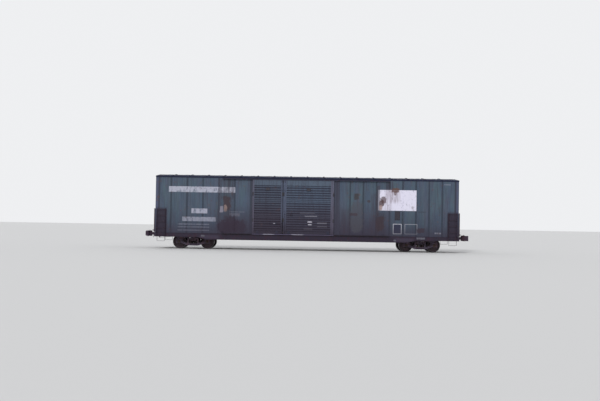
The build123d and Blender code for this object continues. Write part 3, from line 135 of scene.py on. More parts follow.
# %% [markdown]
# ## Masks: where a coat is worn, rusty or dirty
# A weathered surface is a stack of coats, each let through by a mask between 0 and 1. A mask comes from
# noise whose size is a real size in millimetres, from noise stretched downwards for rain streaks, or from a
# place on the car. All of them read Object coordinates, which are metres on the car, so nothing slides or
# stretches. Such masks could be painted by hand on an unwrapped side, but nodes need no picture and stay
# sharp from near. A Mix node has a pair of sockets for each kind of value, all with the same names, so they
# are picked by number.

# %% Mask helpers
def place(material):
    """The surface point in the car's own metres, and its three coordinates."""
    point = add_node(material, "ShaderNodeTexCoord").outputs["Object"]
    return point, add_node(material, "ShaderNodeSeparateXYZ", {"Vector": point}).outputs


def spots(material, point, size, share, soft=0.06, stretch=(1, 1, 1), shift=0.0, detail=5.0):
    """Irregular patches about `size` mm across; a share near 0.5 covers half, 0.7 only a little."""
    scale = [1000 / (size * along) for along in stretch]
    moved = add_node(material, "ShaderNodeMapping",
                     {"Vector": point, "Scale": scale, "Location": (shift, shift, shift)})
    noise = add_node(material, "ShaderNodeTexNoise",
                     {"Vector": moved.outputs[0], "Scale": 1.0, "Detail": detail, "Roughness": 0.6})
    return add_node(material, "ShaderNodeMapRange",
                    {"Value": noise.outputs[0], "From Min": share - soft,
                     "From Max": share + soft}).outputs[0]


def fade(material, value, start, end):
    """A mask that rises from 0 at start to 1 at end, along any coordinate."""
    return add_node(material, "ShaderNodeMapRange", {"Value": value, "From Min": start, "From Max": end},
                    interpolation_type="SMOOTHSTEP").outputs[0]


def within(material, value, low, high, soft):
    """A mask that is 1 between two limits of a coordinate, with soft edges."""
    half, middle = (high - low) / 2, (high + low) / 2
    off = add_node(material, "ShaderNodeMath", {0: value, 1: middle}, operation="SUBTRACT").outputs[0]
    away = add_node(material, "ShaderNodeMath", {0: off}, operation="ABSOLUTE").outputs[0]
    return fade(material, away, half + soft, half - soft)


def lay(material, base, coats, kind="RGBA"):
    """Lays coats over a base: each is (value, share, masks...), and its masks are multiplied together."""
    slots = {"RGBA": (6, 7, 2), "FLOAT": (2, 3, 0)}[kind]
    below = linear(base) if kind == "RGBA" else base
    for value, share, *masks in coats:
        amount = share
        for mask in masks:
            amount = add_node(material, "ShaderNodeMath", {0: mask, 1: amount},
                              operation="MULTIPLY").outputs[0]
        colour = linear(value) if kind == "RGBA" else value
        below = add_node(material, "ShaderNodeMix", {0: amount, slots[0]: below, slots[1]: colour},
                         data_type=kind).outputs[slots[2]]
    return below


def relief(material, shader, heights):
    """Bump from height masks: each is (mask, depth in mm)."""
    normal = None
    for height, depth in heights:
        inputs = {"Height": height, "Distance": depth * mm, "Strength": 1.0}
        if normal is not None:
            inputs["Normal"] = normal
        normal = add_node(material, "ShaderNodeBump", inputs).outputs[0]
    material.node_tree.links.new(normal, shader.inputs["Normal"])


def connect(material, output, shader, socket):
    """Links a finished colour or value to the shader."""
    material.node_tree.links.new(output, shader.inputs[socket])


print("mask helpers ready")

# %% [markdown]
# ## Body paint
# The sides wear a dark green-grey alkyd enamel, sprayed on sheet steel and faded by decades of sun: satin
# to matt, chalky at the top, brown with brake dust near the sill. Rain carries dust down in streaks, rust
# blooms round old repairs, and there are plain patches and frames of paler paint, chipped at their edges.
# The inside of the same walls is lined with bare plywood, told apart by its distance from the centre line.

# %% Places of the painted patches and stains, seen from the side: (x from, x to, z from, z to)
corner_lap = (9.08, 9.19)
ladder_edge = (8.58, 8.70)
ladder_head = (2.62, 2.35)
big_pale_patch = (4.37, 6.73, 2.56, 3.83)
dark_panel = (5.30, 5.83, 1.12, 1.75)
open_panel = (6.02, 6.80, 1.12, 1.75)
panel_border = 0.036
pale_patches = (
    ("b3b4c4", 0.86, (-8.54, -4.45, 3.50, 3.85)),
    ("b0b1c2", 0.80, (-7.13, -6.15, 2.20, 2.50)),
    ("a3a4b5", 0.62, (-7.69, -5.62, 1.71, 1.98)),
    ("8e90a2", 0.42, (-7.97, -6.02, 1.49, 1.56)),
    ("8e90a2", 0.42, (-7.97, -6.02, 1.32, 1.39)),
    ("8e90a2", 0.50, (-7.97, -6.02, 1.12, 1.19)),
    ("8b8c9c", 0.40, (-4.78, -3.86, 2.30, 2.35)),
    ("8b8c9c", 0.40, (-4.78, -4.15, 2.05, 2.24)),
    ("b0b1bf", 0.60, (7.87, 8.26, 1.16, 1.25)),
    ("8e90a2", 0.50, (8.42, 8.83, 4.18, 4.25)),
)
stains = (
    ("3b3a49", 0.60, (-5.52, -5.28, 1.60, 4.36)),
    ("3a2c33", 0.90, (-5.19, -4.72, 2.40, 3.26)),
    ("86726e", 0.85, (-5.14, -4.94, 2.34, 2.74)),
    ("837f8e", 0.85, (-5.38, -5.17, 2.28, 2.68)),
    ("2d2132", 0.84, (-5.50, -4.66, 1.00, 1.74)),
    ("2d2132", 0.86, (-5.10, -4.22, 1.08, 2.02)),
    ("2d2132", 0.80, (-4.70, -3.76, 1.00, 1.80)),
    ("47474f", 0.60, (2.68, 3.42, 1.20, 3.10)),
    ("383538", 0.90, (2.88, 3.18, 3.20, 3.58)),
    ("3d363c", 0.85, (3.70, 3.90, 3.04, 3.18)),
    ("3b303a", 0.80, (2.62, 3.10, 2.20, 2.36)),
    ("3c3c48", 0.70, (4.26, 4.48, 2.20, 4.10)),
    ("4a3031", 0.88, (4.44, 4.74, 2.80, 3.20)),
    ("4a3031", 0.80, (4.58, 4.86, 2.98, 3.40)),
    ("9c8481", 0.85, (4.44, 4.64, 2.58, 2.88)),
    ("5b4238", 0.85, (5.20, 5.66, 3.68, 3.94)),
    ("5b4238", 0.60, (5.34, 5.50, 3.50, 3.80)),
    ("3b2f37", 0.95, (4.26, 4.76, 1.30, 2.18)),
    ("39414f", 0.70, (6.82, 7.34, 2.44, 2.54)),
    ("362c39", 0.90, (6.76, 7.24, 1.22, 1.50)),
)
runs = (
    ("2c2430", 0.80, (-5.30, -4.50, 3.10, 4.42)),
    ("2c2430", 0.60, (-5.10, -4.50, 1.80, 2.50)),
    ("2c2430", 0.85, (4.78, 5.26, 3.84, 4.36)),
    ("6d5560", 0.55, (4.80, 5.20, 2.56, 3.84)),
    ("2c2430", 0.70, (4.30, 4.80, 1.20, 2.40)),
    ("62464a", 0.62, (5.10, 5.70, 3.05, 3.90)),
    ("3a2a33", 0.50, (3.96, 4.34, 1.10, 3.60)),
    ("3a2a33", 0.40, (2.10, 2.66, 1.10, 2.60)),
)
print("pale patches:", len(pale_patches) + 3, "stains:", len(stains) + len(runs))

# %% [markdown]
# ## Patches, blots and seams
# A painted patch has straight edges, so two limits on each axis make its mask. A stain starts as the same
# rectangle with much softer edges, and noise pushes the edge about until it is ragged. Seams repeat at a
# pitch, so a ping-pong of the distance from the first one marks them all. The far side reads the same
# places from its own front.

# %% Masks of the side
def patch(material, across, up, limits, soft):
    """A mask for one rectangle on the side, as two masks to be multiplied."""
    left, right, low, high = limits
    return within(material, across, left, right, soft), within(material, up, low, high, soft)


def blot(material, across, up, limits, noise):
    """A mask for a stain with a ragged edge: a soft rectangle whose edge is pushed about by noise."""
    widest_edge, push = 0.32, 1.6
    left, right, low, high = limits
    soft = min(widest_edge, 0.4 * min(right - left, high - low))
    wide, tall = patch(material, across, up, limits, soft)
    shape = add_node(material, "ShaderNodeMath", {0: wide, 1: tall}, operation="MULTIPLY").outputs[0]
    pushed = add_node(material, "ShaderNodeMath", {0: noise, 1: push, 2: shape}, operation="MULTIPLY_ADD")
    return fade(material, pushed.outputs[0], push / 2 + 0.24, push / 2 + 0.74)


def seen_from_side(material, x, y):
    """X as read from in front of either side: x on the near side, and -x on the far one."""
    side = add_node(material, "ShaderNodeMath", {0: y}, operation="SIGN").outputs[0]
    against = add_node(material, "ShaderNodeMath", {0: side, 1: -1.0}, operation="MULTIPLY").outputs[0]
    return add_node(material, "ShaderNodeMath", {0: x, 1: against}, operation="MULTIPLY").outputs[0]


print("masks of the side ready")

# %% [markdown]
# ## What weather does to every sheet
# One set of masks serves all the painted sheets, so that walls, doors, ends and roof have aged together:
# large faded areas, fine mottling, streaks that run down, rust bloom with pits in it, and dust thrown up
# from below.

# %% Shared weathering
def weathering(material, point, z):
    """The masks that every painted sheet shares: fading, streaks, rust bloom, dust and grime."""
    return {
        "fading": spots(material, point, 900, 0.50, 0.22, (1, 1, 1.6)),
        "mottle": spots(material, point, 120, 0.52, 0.20, (1, 1, 1), 3.1),
        "streaks": spots(material, point, 70, 0.55, 0.10, (1, 1, 14), 7.7),
        "thin_streaks": spots(material, point, 22, 0.60, 0.08, (1, 1, 30), 1.3, 3.0),
        "rust": spots(material, point, 260, 0.66, 0.05, (1, 1, 1.5), 5.2, 8.0),
        "pits": spots(material, point, 14, 0.66, 0.05, (1, 1, 1), 2.4, 3.0),
        "low": fade(material, z, 2.9, 1.0),
        "lowest": fade(material, z, 1.75, 1.0),
        "high": fade(material, z, 3.6, 4.4),
    }


def seam_lines(material, across):
    """A mask for the dirt along the seam battens, whose pitch differs on the short and the long section."""
    masks = []
    for first, pitch in ((batten_x[0], wide_pitch), (batten_x[5], narrow_pitch)):
        moved = add_node(material, "ShaderNodeMath", {0: across, 1: first}, operation="SUBTRACT").outputs[0]
        away = add_node(material, "ShaderNodeMath", {0: moved, 1: pitch / 2}, operation="PINGPONG").outputs[0]
        masks.append(fade(material, away, 0.080, 0.030))
    right = fade(material, across, -0.01, 0.01)
    return add_node(material, "ShaderNodeMix", {0: right, 2: masks[0], 3: masks[1]},
                    data_type="FLOAT").outputs[0]


print("shared weathering ready, seam pitches", wide_pitch, "and", narrow_pitch, "m")

# %% [markdown]
# ## The side, coat by coat
# The coats go on in the order of the car's life: faded paint, dirt at the seams, the pale patches, then
# rust, grime and stains over all. Roughness follows dirt and rust, and a broad, shallow bump makes the
# sheets a little wavy between their posts, as thin steel is. Each coat is one line in a list, so that its
# place in the order and its share are easy to try out.

# %% Side finish
def painted_side(name, base, chalk, marks):
    """Weathered enamel on a side sheet, with its plywood lining; marks are laid between fading and dirt."""
    material, shader = new_finish(name, 0.62, Specular_IOR_Level=0.35)
    point, (x, y, z) = place(material)
    across = seen_from_side(material, x, y)
    out = add_node(material, "ShaderNodeMath", {0: y}, operation="ABSOLUTE").outputs[0]
    masks = weathering(material, point, z)
    worn = spots(material, point, 130, 0.29, 0.14, (1, 1, 1.6), 9.3, 7.0)
    chipped = spots(material, point, 95, 0.38, 0.13, (1, 1, 2.2), 17.3, 7.0)
    ragged = spots(material, point, 110, 0.50, 0.50, (1, 1, 1.3), 11.2, 9.0)
    running = spots(material, point, 45, 0.50, 0.12, (1, 1, 30), 14.5, 4.0)
    brown_bands = spots(material, point, 230, 0.54, 0.10, (1, 1, 9), 21.3, 4.0)
    green_bands = spots(material, point, 310, 0.53, 0.10, (1, 1, 7), 33.1, 4.0)
    length = add_node(material, "ShaderNodeMath", {0: x}, operation="ABSOLUTE").outputs[0]
    coats = [
        (chalk, 0.75, masks["fading"]),
        (chalk, 0.45, masks["high"], masks["mottle"]),
        ("4b6068", 0.55, green_bands),
        ("504f62", 0.40, brown_bands),
        ("333e4b", 0.45, masks["mottle"], masks["low"]),
        ("343446", 0.40, masks["low"]),
        ("28313e", 0.70, seam_lines(material, across)),
        ("2b2c3b", 0.70, within(material, length, *corner_lap, 0.03)),
        ("343542", 0.42, masks["streaks"]),
        ("302a36", 0.40, masks["thin_streaks"], masks["low"]),
    ]
    if marks:
        coats += [(tone, share, chipped, *patch(material, across, z, limits, 0.006))
                  for tone, share, limits in pale_patches]
        coats.append(("dfdced", 1.0, worn, *patch(material, across, z, big_pale_patch, 0.006)))
        for panel, border, filling in ((open_panel, 0.40, 0.0), (dark_panel, 0.90, 0.90)):
            left, right, low, high = panel
            inner = (left + panel_border, right - panel_border, low + panel_border, high - panel_border)
            wide, tall = patch(material, across, z, inner, 0.004)
            inside = add_node(material, "ShaderNodeMath", {0: wide, 1: tall}, operation="MULTIPLY").outputs[0]
            rim = add_node(material, "ShaderNodeMath", {0: 1.0, 1: inside}, operation="SUBTRACT").outputs[0]
            coats.append(("c3c3cd", border, worn, rim, *patch(material, across, z, panel, 0.005)))
            if filling:
                coats.append(("282b42", filling, inside))
    middle = within(material, across, -5.6, 5.0, 0.5)
    behind_ladder = fade(material, length, *ladder_edge)
    coats += [
        ("5c4a48", 0.50, masks["rust"]),
        ("6a5048", 0.60, masks["rust"], masks["pits"]),
        ("352f40", 0.66, fade(material, z, 3.1, 1.5), middle),
        ("322c3d", 0.60, masks["lowest"]),
        ("281e2f", 0.90, behind_ladder, fade(material, z, *ladder_head)),
    ]
    if marks:
        coats += [(tone, share, blot(material, across, z, limits, ragged)) for tone, share, limits in stains]
        coats += [(tone, share, running, *patch(material, across, z, limits, 0.12))
                  for tone, share, limits in runs]
        # Dark strips at the door posts: the posts' own grey-brown, and beside the wide door's edge also
        # painted shadow cast by the door.
        for start, end in post_strips_and_painted_shadow:
            coats.append(("363444", 0.72, within(material, across, start, end, 0.03)))
    sheet = lay(material, base, coats)
    inside = fade(material, out, lining_face + 0.004, lining_face + 0.001)
    grain = spots(material, point, 9, 0.50, 0.25, (24, 1, 1), 4.0, 3.0)
    sheet_width = 1.22
    boards = add_node(material, "ShaderNodeTexWave",
                      {"Vector": point, "Scale": 1 / sheet_width, "Distortion": 0.0},
                      bands_direction="X", wave_profile="SAW").outputs[1]
    joint = within(material, boards, 0.0, 0.006, 0.003)
    plywood = lay(material, "7c6a52",
                  [("5e4c3a", 0.7, grain), ("3b2f26", 0.9, joint), ("4a4038", 0.5, masks["fading"])])
    colour = add_node(material, "ShaderNodeMix", {0: inside, 6: sheet, 7: plywood},
                      data_type="RGBA").outputs[2]
    connect(material, colour, shader, "Base Color")
    rough = lay(material, 0.56,
                [(0.74, 1.0, masks["low"]), (0.86, 1.0, masks["rust"]), (0.66, 0.6, masks["fading"])],
                "FLOAT")
    connect(material, rough, shader, "Roughness")
    buckle = spots(material, point, 700, 0.50, 0.5, (1, 1, 1.3), 6.1, 1.0)
    relief(material, shader, [(buckle, 9.0), (masks["pits"], 0.5), (masks["rust"], -0.6)])
    return material


side_paint = painted_side("faded_green_enamel_on_steel", "3e4d5f", "4b5a6e", marks=True)
header_paint = painted_side("faded_green_enamel_over_doors", "3d4a5b", "485669", marks=False)
print("body finishes:", side_paint.name, header_paint.name)

# %% [markdown]
# ## Door paint
# The doors were painted from the same tin, but they are slid, knocked and greased: the ribs' crests are
# rubbed paler, the valleys are painted darker, as painted shade between the ribs with some dirt on their
# ledges, and the lower half has gone brown. How far a point stands out from the centre line tells crest
# from valley.

# %% Door finish
door_back, valley_face, flank, crest_face = 1.520, 1.548, 1.560, 1.576
top_rail_foot = 4.00


def painted_door(name, base, low_tone, pale_stile, dusty_stile, dashes):
    """Enamel on a ribbed door, pale on the crests, with painted shade and some dirt between them."""
    material, shader = new_finish(name, 0.6, Specular_IOR_Level=0.35)
    point, (x, y, z) = place(material)
    across = seen_from_side(material, x, y)
    out = add_node(material, "ShaderNodeMath", {0: y}, operation="ABSOLUTE").outputs[0]
    masks = weathering(material, point, z)
    crest = fade(material, out, flank, crest_face)
    valley_shade_and_dirt = fade(material, out, flank, valley_face)
    back = fade(material, out, door_back + 0.6 * mm, door_back + 0.2 * mm)
    rail = fade(material, z, top_rail_foot - 10 * mm, top_rail_foot)
    middle = fade(material, z, 3.3, 1.9)
    colour = lay(material, base, [
        ("4c5768", 0.50, masks["fading"]),
        ("4f5d6e", 0.80, rail),
        # Painted shade: this coat and the one on the lower half darken the valleys between the ribs, as their
        # shade would.
        ("2a2734", 0.68, valley_shade_and_dirt),
        ("4f5869", 0.35, crest, masks["mottle"]),
        (low_tone, 0.80, middle),
        ("2a222e", 0.50, valley_shade_and_dirt, middle),
        ("545b72", 0.60, within(material, across, *pale_stile, 0.01), fade(material, z, 1.5, 2.0)),
        ("5c5669", 0.55, within(material, across, *dusty_stile, 0.01)),
        ("513f42", 0.60, masks["rust"]),
        ("2e2936", 0.45, masks["streaks"]),
        ("2f2734", 0.62, masks["lowest"]),
        *[("c9c6d2", share, *patch(material, across, z, limits, 0.012)) for share, limits in dashes],
        ("4b4740", 0.85, back),
    ])
    connect(material, colour, shader, "Base Color")
    rough = lay(material, 0.52, [(0.78, 1.0, masks["low"]), (0.86, 1.0, masks["rust"]), (0.8, 1.0, valley_shade_and_dirt)],
                "FLOAT")
    connect(material, rough, shader, "Roughness")
    dents = spots(material, point, 420, 0.50, 0.5, (1, 1, 1), 8.8, 1.0)
    relief(material, shader, [(dents, 6.0), (masks["pits"], 0.5), (masks["rust"], -0.5)])
    return material


wide_door_dashes = (
    (0.90, (0.03, 0.31, 1.74, 1.82)), (0.90, (0.05, 0.31, 1.585, 1.645)), (0.26, (-0.14, 0.62, 2.10, 2.16)),
    (0.16, (0.62, 1.22, 1.67, 1.75)), (0.14, (-0.44, 0.47, 2.29, 2.34)), (0.10, (0.62, 1.22, 1.46, 1.53)),
    (0.09, (-0.20, 0.34, 1.31, 1.37)),
)
narrow_door_dashes = ((0.70, (-2.08, -1.90, 1.62, 1.68)),)
wide_door_paint = painted_door("faded_green_enamel_on_wide_door", "475468", "363040",
                               (-1.48, -1.28), (1.44, 1.64), wide_door_dashes)
narrow_door_paint = painted_door("faded_green_enamel_on_narrow_door", "404859", "342b3a",
                                 (-1.62, -1.51), (-3.38, -3.27), narrow_door_dashes)
print("door finishes:", wide_door_paint.name, narrow_door_paint.name)

# %% [markdown]
# ## End paint
# The corrugated ends have the same enamel, washed by rain that runs off each corrugation and leaves a dark
# line below it. A ping-pong of the height with the corrugations' own pitch places those lines. The corner
# wraps belong to the sides, so they get the sides' colours, and the end's inner face is lined with plywood.

# %% End finish
corrugation = 0.410
wrap_lap = (9.21, 9.18)
end_ladder_edge = (9.32, 9.24)
end_lining = 9.262


def painted_end():
    """Enamel on the corrugated ends: paler crests, dark runs below them, soot and rust low down."""
    material, shader = new_finish("faded_green_enamel_on_corrugated_end", 0.64, Specular_IOR_Level=0.35)
    point, (x, y, z) = place(material)
    along = add_node(material, "ShaderNodeMath", {0: x}, operation="ABSOLUTE").outputs[0]
    masks = weathering(material, point, z)
    crest = fade(material, along, body_end + 0.010, body_end + 0.046)
    run = add_node(material, "ShaderNodeMath", {0: z, 1: corrugation / 2}, operation="PINGPONG").outputs[0]
    under = fade(material, run, 0.10, 0.0)
    face = fade(material, along, body_end - 0.004, body_end - 0.001)
    wide = add_node(material, "ShaderNodeMath", {0: y}, operation="ABSOLUTE").outputs[0]
    wrap = fade(material, wide, wall_face - 0.010, wall_face - 0.001)
    outside = lay(material, "3f4d5f", [
        ("4b5a6d", 0.70, masks["fading"]),
        ("4b5069", 0.85, wrap),
        ("2b2c3b", 0.70, wrap, fade(material, along, *wrap_lap)),
        ("526071", 0.50, crest, masks["mottle"]),
        ("333b48", 0.55, under, face, masks["streaks"]),
        ("5f4b46", 0.60, masks["rust"]),
        ("6d4f41", 0.75, masks["rust"], masks["pits"]),
        ("3a3c47", 0.35, masks["streaks"]),
        ("383343", 0.62, masks["low"]),
        ("332b38", 0.60, masks["lowest"]),
        ("281e2f", 0.85, wrap, fade(material, along, *end_ladder_edge), fade(material, z, *ladder_head)),
    ])
    inside = fade(material, along, end_lining, end_lining - 2.5 * mm)
    grain = spots(material, point, 9, 0.50, 0.25, (1, 24, 1), 4.0, 3.0)
    plywood = lay(material, "7c6a52", [("5e4c3a", 0.7, grain), ("4a4038", 0.5, masks["fading"])])
    off_side = fade(material, wide, lining_face + 0.004, lining_face - 0.002)
    lined = add_node(material, "ShaderNodeMath", {0: inside, 1: off_side}, operation="MULTIPLY").outputs[0]
    colour = add_node(material, "ShaderNodeMix", {0: lined, 6: outside, 7: plywood},
                      data_type="RGBA").outputs[2]
    connect(material, colour, shader, "Base Color")
    rough = lay(material, 0.6, [(0.8, 1.0, masks["low"]), (0.88, 1.0, masks["rust"])], "FLOAT")
    connect(material, rough, shader, "Roughness")
    buckle = spots(material, point, 600, 0.50, 0.5, (1, 1, 1), 6.1, 1.0)
    relief(material, shader, [(buckle, 6.0), (masks["pits"], 0.5), (masks["rust"], -0.6)])
    return material


end_paint = painted_end()
print("end finish:", end_paint.name)

# %% [markdown]
# ## Roof coat
# The roof's sheets were dipped in zinc and painted. The coat has gone dull and chalky, with rust where the
# seam caps hold water, and dirt at the eaves. From inside, the same sheets show a pale ceiling paint. The
# caps stand one bay apart, so a ping-pong of X finds them all, and no seam needs a place of its own.

# %% Roof finish
eave_edge = (1.44, 1.52)
roof_underside = 4.445


def roof_coat():
    """Old zinc and paint on the roof sheets: chalky grey-green, dusty at the eaves, rusty at the seams."""
    material, shader = new_finish("weathered_zinc_roof_sheet", 0.8, Specular_IOR_Level=0.1)
    point, (x, y, z) = place(material)
    masks = weathering(material, point, z)
    out = add_node(material, "ShaderNodeMath", {0: y}, operation="ABSOLUTE").outputs[0]
    edge = fade(material, out, *eave_edge)
    from_seam = add_node(material, "ShaderNodeMath", {0: x, 1: bay / 2}, operation="PINGPONG").outputs[0]
    seam = fade(material, from_seam, 0.11, 0.0)
    runs = spots(material, point, 60, 0.52, 0.12, (1, 16, 1), 2.2)
    rust = spots(material, point, 190, 0.56, 0.07, (1, 1.6, 1), 5.9, 8.0)
    under = fade(material, z, roof_underside + 4 * mm, roof_underside - 2 * mm)
    ceiling = fade(material, out, lining_face + 0.1, lining_face)
    colour = lay(material, "363e51", [
        ("464f62", 0.60, masks["fading"]),
        ("2e3545", 0.50, runs),
        ("6b4f42", 0.70, rust, seam),
        ("5d4740", 0.45, rust),
        ("25283d", 0.90, edge),
        ("a9a496", 0.55, under, ceiling),
    ])
    connect(material, colour, shader, "Base Color")
    rough = lay(material, 0.75, [(0.9, 1.0, rust), (0.85, 0.6, masks["fading"])], "FLOAT")
    connect(material, rough, shader, "Roughness")
    buckle = spots(material, point, 500, 0.50, 0.5, (1, 1, 1), 6.1, 1.0)
    relief(material, shader, [(buckle, 5.0), (masks["pits"], 0.4), (rust, -0.5)])
    return material


roof_finish = roof_coat()
print("roof finish:", roof_finish.name)

# %% [markdown]
# ## Frame, fittings and running gear
# Below the sides nearly everything is dark: bitumen paint, cast steel and grease under brake dust and mud.
# These finishes differ by how they were made, so one function lays dust, rust and grime over each, and the
# steel's own colour, gloss and grain come from the call.

# %% Dirty steel finishes
def dirty_steel(name, base, dust, rust, roughness, metallic=0.0, grain=3.0, rust_share=0.58, dust_level=0.0,
                casting=0.3, wear=None):
    """Painted, rolled or cast steel under dust and rust.

    Dust lies thicker below the height dust_level, and wear gives the last coats, where something rubs.
    """
    material, shader = new_finish(name, roughness, metallic, Specular_IOR_Level=0.4)
    point, (x, y, z) = place(material)
    patches = spots(material, point, 240, rust_share, 0.09, (1, 1, 1.4), 5.2, 8.0)
    film = spots(material, point, 480, 0.5, 0.25, (1, 1, 0.7), 2.6, 6.0)
    specks = spots(material, point, 18, 0.60, 0.08, (1, 1, 1), 1.9, 4.0)
    streak = spots(material, point, 40, 0.56, 0.10, (1, 1, 10), 7.7)
    skin = spots(material, point, grain, 0.5, 0.4, (1, 1, 1), 4.4, 3.0)
    coats = [
        (dust, 0.55, film),
        (rust, 0.80, patches),
        (rust, 0.60, specks),
        ("241f22", 0.35, streak),
    ]
    if dust_level:
        coats.append((dust, 0.65, fade(material, z, dust_level, dust_level - 0.35)))
    if wear:
        coats += wear(material, x, y, z)
    connect(material, lay(material, base, coats), shader, "Base Color")
    rough = lay(material, roughness, [(0.88, 1.0, patches), (0.8, 0.7, film)], "FLOAT")
    connect(material, rough, shader, "Roughness")
    relief(material, shader, [(skin, casting), (patches, -0.5)])
    return material


def thin_bitumen(material, x, y, z):
    """The side sill's coat is thin and paler where its deep part runs out, either side of the middle."""
    length = add_node(material, "ShaderNodeMath", {0: x}, operation="ABSOLUTE").outputs[0]
    return [("4a4356", 0.36, within(material, length, 5.40, 6.58, 0.15),
             within(material, z, 0.66, 0.87, 0.04))]


def track_wear_and_painted_highlight(material, x, y, z):
    """The lower track's top edge: paler under the doors and brightest in two stretches, a painted highlight
    over some rubbing.
    """
    across = seen_from_side(material, x, y)
    top = fade(material, z, 0.945, 0.965)
    # Painted highlight along the top edge under the doors, brightest in two stretches.
    coats = [("6f6884", 0.90, top, within(material, across, *door_span, 0.02))]
    for start, end in ((-2.69, -2.03), (-0.94, -0.23)):
        coats.append(("b4b1c2", 0.85, top, within(material, across, start, end, 0.10)))
    return coats


# Bitumen brushed on pressed steel: matt, nearly black, with a violet bloom of dust.
sill_paint = dirty_steel("bitumen_paint_on_side_sill", "211b2f", "2d2236", "3c2534", 0.7, grain=6.0,
                         wear=thin_bitumen)
# The same coat under the floor, out of the rain: browner and drier.
frame_paint = dirty_steel("bitumen_paint_on_underframe", "2c2730", "3e353c", "453134", 0.78, grain=6.0)
# Hot-rolled section with one coat of paint: blue-black with a dull shine.
track_steel = dirty_steel("rolled_steel_door_track", "282c41", "313045", "3b2f3c", 0.6, 0.1, grain=4.0)
# The same section where the doors run: its top edge is rubbed, and carries a painted highlight.
lower_track_steel = dirty_steel("rubbed_door_track_with_painted_highlight", "26222f", "2f2836", "3e2d36", 0.6, 0.1, grain=4.0,
                                wear=track_wear_and_painted_highlight)
# Enamel on flat bar, half gone to rust: dark, between violet and brown.
ladder_paint = dirty_steel("rusting_paint_on_ladders", "2d2334", "3a2c39", "472d36", 0.68, grain=4.0)
# Cast steel, never painted: coarse grain, brown rust, and pale dust that lies thickest low down.
bogie_casting = dirty_steel("rusted_cast_steel", "49404e", "60576a", "664a4e", 0.82, 0.0, grain=7.0,
                            dust_level=0.45, casting=0.9)
# Cast steel that its neighbours rub: the same coarse grain, darker and a little glossier.
coupler_casting = dirty_steel("bare_rusted_cast_steel", "3c2f40", "4a3c50", "593e45", 0.75, 0.1, grain=7.0,
                              casting=0.9)
# Black enamel on pipe and pressed steel: a smooth skin under a grey film.
brake_paint = dirty_steel("black_enamel_on_brake_gear", "2a272e", "433c42", "473437", 0.6, grain=4.0)
# Coiled spring steel with its furnace scale: smooth and sooty, with a faint gleam.
spring_finish = dirty_steel("sooty_spring_steel", "2f2a30", "4a4045", "523a36", 0.55, 0.5, grain=3.0)
# Forged steel, turned smooth, under old oil: brown and half bright.
axle_finish = dirty_steel("forged_axle_steel_under_oil", "3a3333", "4c423b", "513b30", 0.5, 0.6, grain=4.0)
# Steel rubbed bare by boots and freight: grey, bright and lightly rusted.
bright_steel = dirty_steel("rubbed_bare_steel", "6c6a6d", "5a5350", "5f4a40", 0.38, 0.85, grain=2.0,
                           rust_share=0.66)
# Dark enamel on thin sheet: even and dull.
board_finish = dirty_steel("dark_enamel_on_board", "2b2a36", "3a3944", "4a3e43", 0.66, grain=5.0,
                           rust_share=0.64)
print("steel finishes made")

# %% [markdown]
# ## Wheels
# A rolled steel wheel is bright only where it runs: the tread and the flange's root are polished by running
# and by the shoes, the rim's face is dark and oily, and the plate is rusty brown with grease thrown out
# from the hub. The distance from the axle tells them apart, so each wheelset has its own copy, centred on
# its own axle.

# %% Wheel finish
wheel_front = 0.812
tread_radius, rim_radius, hub_radius = 0.413, 0.378, 0.130


def rolled_wheel(number):
    """One wheelset's finish, in rings about its axle."""
    material, shader = new_finish(f"rolled_wheel_steel_{number}", 0.6, 0.6)
    point, (x, y, z) = place(material)
    across = add_node(material, "ShaderNodeMath", {0: x, 1: wheel_x[number]}, operation="SUBTRACT").outputs[0]
    up = add_node(material, "ShaderNodeMath", {0: z, 1: axle_z}, operation="SUBTRACT").outputs[0]
    flat = add_node(material, "ShaderNodeCombineXYZ", {"X": across, "Z": up}).outputs[0]
    radius = add_node(material, "ShaderNodeVectorMath", {0: flat}, operation="LENGTH").outputs["Value"]
    out = add_node(material, "ShaderNodeMath", {0: y}, operation="ABSOLUTE").outputs[0]
    face = fade(material, out, wheel_front - 12 * mm, wheel_front)
    tread = fade(material, radius, tread_radius - 5 * mm, tread_radius)
    rim = fade(material, radius, rim_radius - 10 * mm, rim_radius)
    hub = fade(material, radius, hub_radius + 70 * mm, hub_radius)
    direction = add_node(material, "ShaderNodeVectorMath", {0: flat}, operation="NORMALIZE").outputs[0]
    thrown = spots(material, direction, 60, 0.52, 0.10, (1, 1, 1), 3.3)
    patches = spots(material, point, 90, 0.55, 0.12, (1, 1, 1), 5.2, 7.0)
    skin = spots(material, point, 6, 0.5, 0.4, (1, 1, 1), 4.4, 3.0)
    band = add_node(material, "ShaderNodeMath", {0: radius, 1: 0.012}, operation="PINGPONG").outputs[0]
    turning = fade(material, band, 0.0, 0.012)
    not_face = add_node(material, "ShaderNodeMath", {0: 1.0, 1: face}, operation="SUBTRACT").outputs[0]
    colour = lay(material, "4d4148", [
        ("614b4e", 0.70, patches),
        ("322c32", 0.60, thrown),
        ("302b31", 0.75, hub),
        ("403a41", 0.80, rim),
        ("8d8b8c", 0.90, tread, not_face),
    ])
    connect(material, colour, shader, "Base Color")
    rough = lay(material, 0.78, [(0.5, 0.8, hub), (0.62, 0.8, rim), (0.30, 1.0, tread, not_face)], "FLOAT")
    connect(material, rough, shader, "Roughness")
    metal = lay(material, 0.2, [(0.9, 1.0, tread, not_face)], "FLOAT")
    connect(material, metal, shader, "Metallic")
    relief(material, shader, [(skin, 0.5), (turning, 0.25)])
    return material


wheel_finish = {number: rolled_wheel(number) for number in wheel_x}
print("wheel finishes:", len(wheel_finish))

# %% [markdown]
# ## Floor
# Freight floors are hardwood planks laid across the car, about 57 mm thick and 140 mm wide, splintered and
# dirty, with steel plates at the thresholds. X divided by a plank's width numbers the planks: the whole
# part picks each one's tone, and the fraction finds the joints between them.

